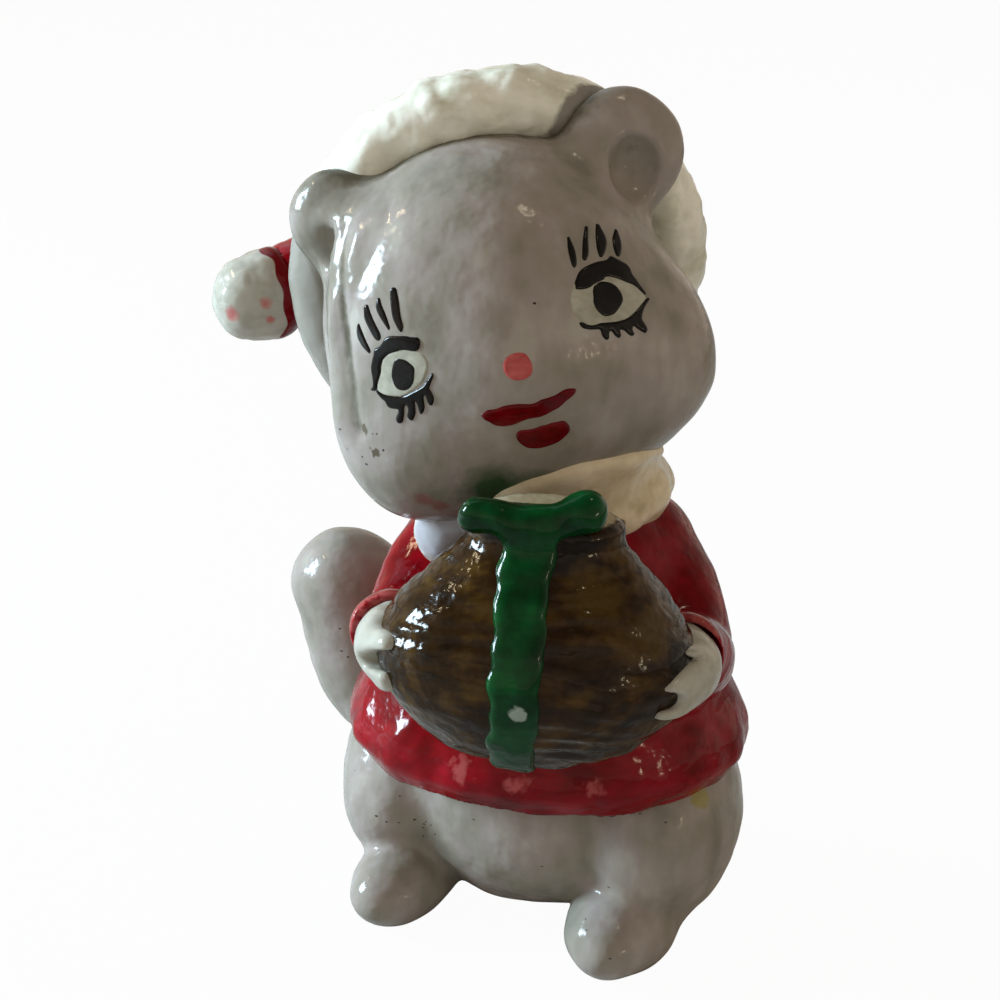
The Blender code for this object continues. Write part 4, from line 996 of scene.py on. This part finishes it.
UPPER_LIP = (
    (-492, 79), (-447, 106), (-397, 119), (-312, 109), (-233, 116), (-142, 104), (-65, 81), (27, 41), (88, 31),
    (146, 39), (219, 25), (307, 14), (382, 21), (453, 12), (527, -31), (513, -68), (465, -92), (384, -109),
    (302, -139), (219, -144), (149, -151), (72, -150), (-8, -130), (-70, -123), (-159, -133), (-224, -137),
    (-316, -121), (-390, -80), (-437, -22), (-477, 25),
)
LOWER_LIP = (
    (-232, 94), (-207, 142), (-159, 159), (-89, 143), (-18, 131), (47, 133), (108, 120), (162, 117),
    (213, 101), (276, 83), (307, 33), (314, -38), (294, -86), (239, -119), (172, -154), (90, -167), (15, -163),
    (-68, -150), (-162, -103), (-207, -36), (-229, 33),
)
NOSE = (
    (-76, 64), (-27, 109), (32, 124), (104, 117), (166, 81), (186, 25), (192, -42), (171, -108), (130, -145),
    (62, -154), (-14, -134), (-70, -86), (-95, -13),
)


MARK_MARGIN = 1.2       # round a mark, in millimetres


def closed_mark(corners):
    """A filled mark inside a smooth closed outline."""
    line = smooth_line([*corners, corners[0]], 3)[:-1]
    return lambda flat: outline_distance(flat, np.array(line))


def paint_mark(node, place, kind, points, film, material, slot):
    """A mark of enamel on the face, which stands for one of the solids. kind makes the mark from its points."""
    points = np.array(points) / 100
    flat = points[:, :2]
    span = (*(flat.min(axis=0) - MARK_MARGIN), *(flat.max(axis=0) + MARK_MARGIN))
    dress(enamel_patch(f"painted_{node}", *place, kind(points), span, film), material, slot, node)


for side, centre in EYE_CENTRES.items():
    for part, film, material, slot in (
        ("eye_white", 0.08, EYE_WHITE, "white_enamel"),
        ("iris", 0.15, BLACK, "black_enamel"),
        ("upper_lid", 0.20, BLACK, "black_enamel"),
        ("lower_lid", 0.18, BLACK, "black_enamel"),
    ):
        node = f"{part}_{side}"
        paint_mark(node, centre, closed_mark, EYE_MARKS[node], film, material, slot)
    for i, line in enumerate(LASHES[side]):
        paint_mark(f"lash_{side}_{i + 1}", centre, brush_stroke, line, 0.14, BLACK, "black_enamel")
for node, place, corners, film, material, slot in (
    ("nose", (0, -5.0), NOSE, 0.14, PINK, "pink_enamel"),
    ("upper_lip", (0, -18.8), UPPER_LIP, 0.2, LIP, "lip_enamel"),
    ("lower_lip", (0, -30.5), LOWER_LIP, 0.2, LIP, "lip_enamel"),
):
    paint_mark(node, place, closed_mark, corners, film, material, slot)


# Floor, light and camera, in metres and degrees
AIM = (-0.0062, -0.0049, 0.0500)
VIEW_AZIMUTH, VIEW_ELEVATION, VIEW_ROLL = 3.0, 20.0, 2.5
VIEW_DISTANCE = 0.230
VIEW_WIDTH = 0.1124     # at the aim
SENSOR_WIDTH = 36       # in millimetres
# Each lamp is its name, azimuth, elevation, distance, size, power in watts and colour. The bluish ones are
# daylight, and the warm ones the room's bulbs, which leave the small glints on the brow and the cheek.
LAMPS = (
    ("window", -94, 15, 0.60, (0.15, 0.20), 7.6, (0.64, 0.85, 1.0)),
    ("skylight", -138, 48, 0.60, (0.45, 0.45), 0.6, (0.66, 0.87, 1.0)),
    ("ceiling_lamp", 60, 70, 0.80, (0.07, 0.07), 0.38, (1.0, 0.86, 0.62)),
    ("shelf_lamp", -98, 38, 0.80, (0.07, 0.05), 0.55, (1.0, 0.80, 0.52)),
    ("table_lamp", 55, 9, 0.80, (0.05, 0.05), 0.24, (1.0, 0.82, 0.56)),
)
FLOOR_HALF = 2.0
FLOOR_WHITE = 0.965     # the share of the floor that the camera sees white. The rest carries the shadow.
ROOM_LEVEL, ROOM_OVERHEAD, OVERHEAD_FROM = 0.88, 0.20, 0.8


def make_floor():
    """A pale floor. The camera sees it white, with the figurine's soft shadow."""
    mesh = bpy.data.meshes.new("floor")
    corners = [(x * FLOOR_HALF, y * FLOOR_HALF, 0) for x, y in ((-1, -1), (1, -1), (1, 1), (-1, 1))]
    mesh.from_pydata(corners, [], [(0, 1, 2, 3)])
    floor = put("floor", mesh)
    material = bpy.data.materials.new("pale_floor")
    tree = empty_tree(material)
    lit = add(tree, "ShaderNodeBsdfDiffuse", {"Color": linear("#c4c2be")})
    white = add(tree, "ShaderNodeEmission", {"Color": (1, 1, 1, 1), "Strength": 1.0})
    path = add(tree, "ShaderNodeLightPath")
    seen = add(tree, "ShaderNodeMath", {0: path.outputs["Is Camera Ray"], 1: FLOOR_WHITE},
               operation="MULTIPLY")
    mixed = add(tree, "ShaderNodeMixShader", {0: seen.outputs[0], 1: lit.outputs[0], 2: white.outputs[0]})
    add(tree, "ShaderNodeOutputMaterial", {"Surface": mixed.outputs[0]})
    mesh.materials.append(material)


def make_world():
    """Warm surroundings, dimmest overhead, and white where the camera sees them."""
    surroundings = bpy.data.worlds.new("surroundings")
    tree = empty_tree(surroundings)
    seen = add(tree, "ShaderNodeLightPath").outputs["Is Camera Ray"]
    way = add(tree, "ShaderNodeSeparateXYZ", {0: add(tree, "ShaderNodeTexCoord").outputs["Generated"]})
    strength = add(tree, "ShaderNodeMapRange", {
        "Value": way.outputs["Z"], "From Min": 0.0, "From Max": OVERHEAD_FROM,
        "To Min": ROOM_LEVEL, "To Max": ROOM_OVERHEAD})
    room = add(tree, "ShaderNodeBackground", {"Color": (1.0, 0.88, 0.74, 1), "Strength": strength.outputs[0]})
    white = add(tree, "ShaderNodeBackground", {"Color": (1, 1, 1, 1), "Strength": 1.0})
    mixed = add(tree, "ShaderNodeMixShader", {0: seen, 1: room.outputs[0], 2: white.outputs[0]})
    add(tree, "ShaderNodeOutputWorld", {"Surface": mixed.outputs[0]})
    bpy.context.scene.world = surroundings


def make_lamp(name, azimuth, elevation, distance, size, power, colour):
    """A soft box that looks at the figurine. Azimuth 0 is in front and turns to the picture's right."""
    lamp = bpy.data.lights.new(name, "AREA")
    lamp.shape = "RECTANGLE"
    lamp.size, lamp.size_y = size
    lamp.energy = power
    lamp.color = colour
    obj = put(name, lamp)
    way = Vector(direction(azimuth, elevation))
    obj.location = Vector(AIM) + way * distance
    obj.rotation_euler = way.to_track_quat("Z", "Y").to_euler()


def make_camera():
    """The photograph's view, from close by and a little above."""
    camera = put("camera", bpy.data.cameras.new("camera"))
    way = Vector(direction(VIEW_AZIMUTH, VIEW_ELEVATION))
    roll = Quaternion((0, 0, 1), math.radians(VIEW_ROLL))
    camera.location = Vector(AIM) + way * VIEW_DISTANCE
    camera.rotation_mode = "QUATERNION"
    camera.rotation_quaternion = (-way).to_track_quat("-Z", "Y") @ roll
    camera.data.sensor_width = SENSOR_WIDTH
    camera.data.lens = SENSOR_WIDTH * VIEW_DISTANCE / VIEW_WIDTH
    camera.data.clip_start = 0.001
    bpy.context.scene.camera = camera


make_floor()
make_world()
for lamp_settings in LAMPS:
    make_lamp(*lamp_settings)
make_camera()
bpy.context.scene.view_settings.view_transform = "Standard"
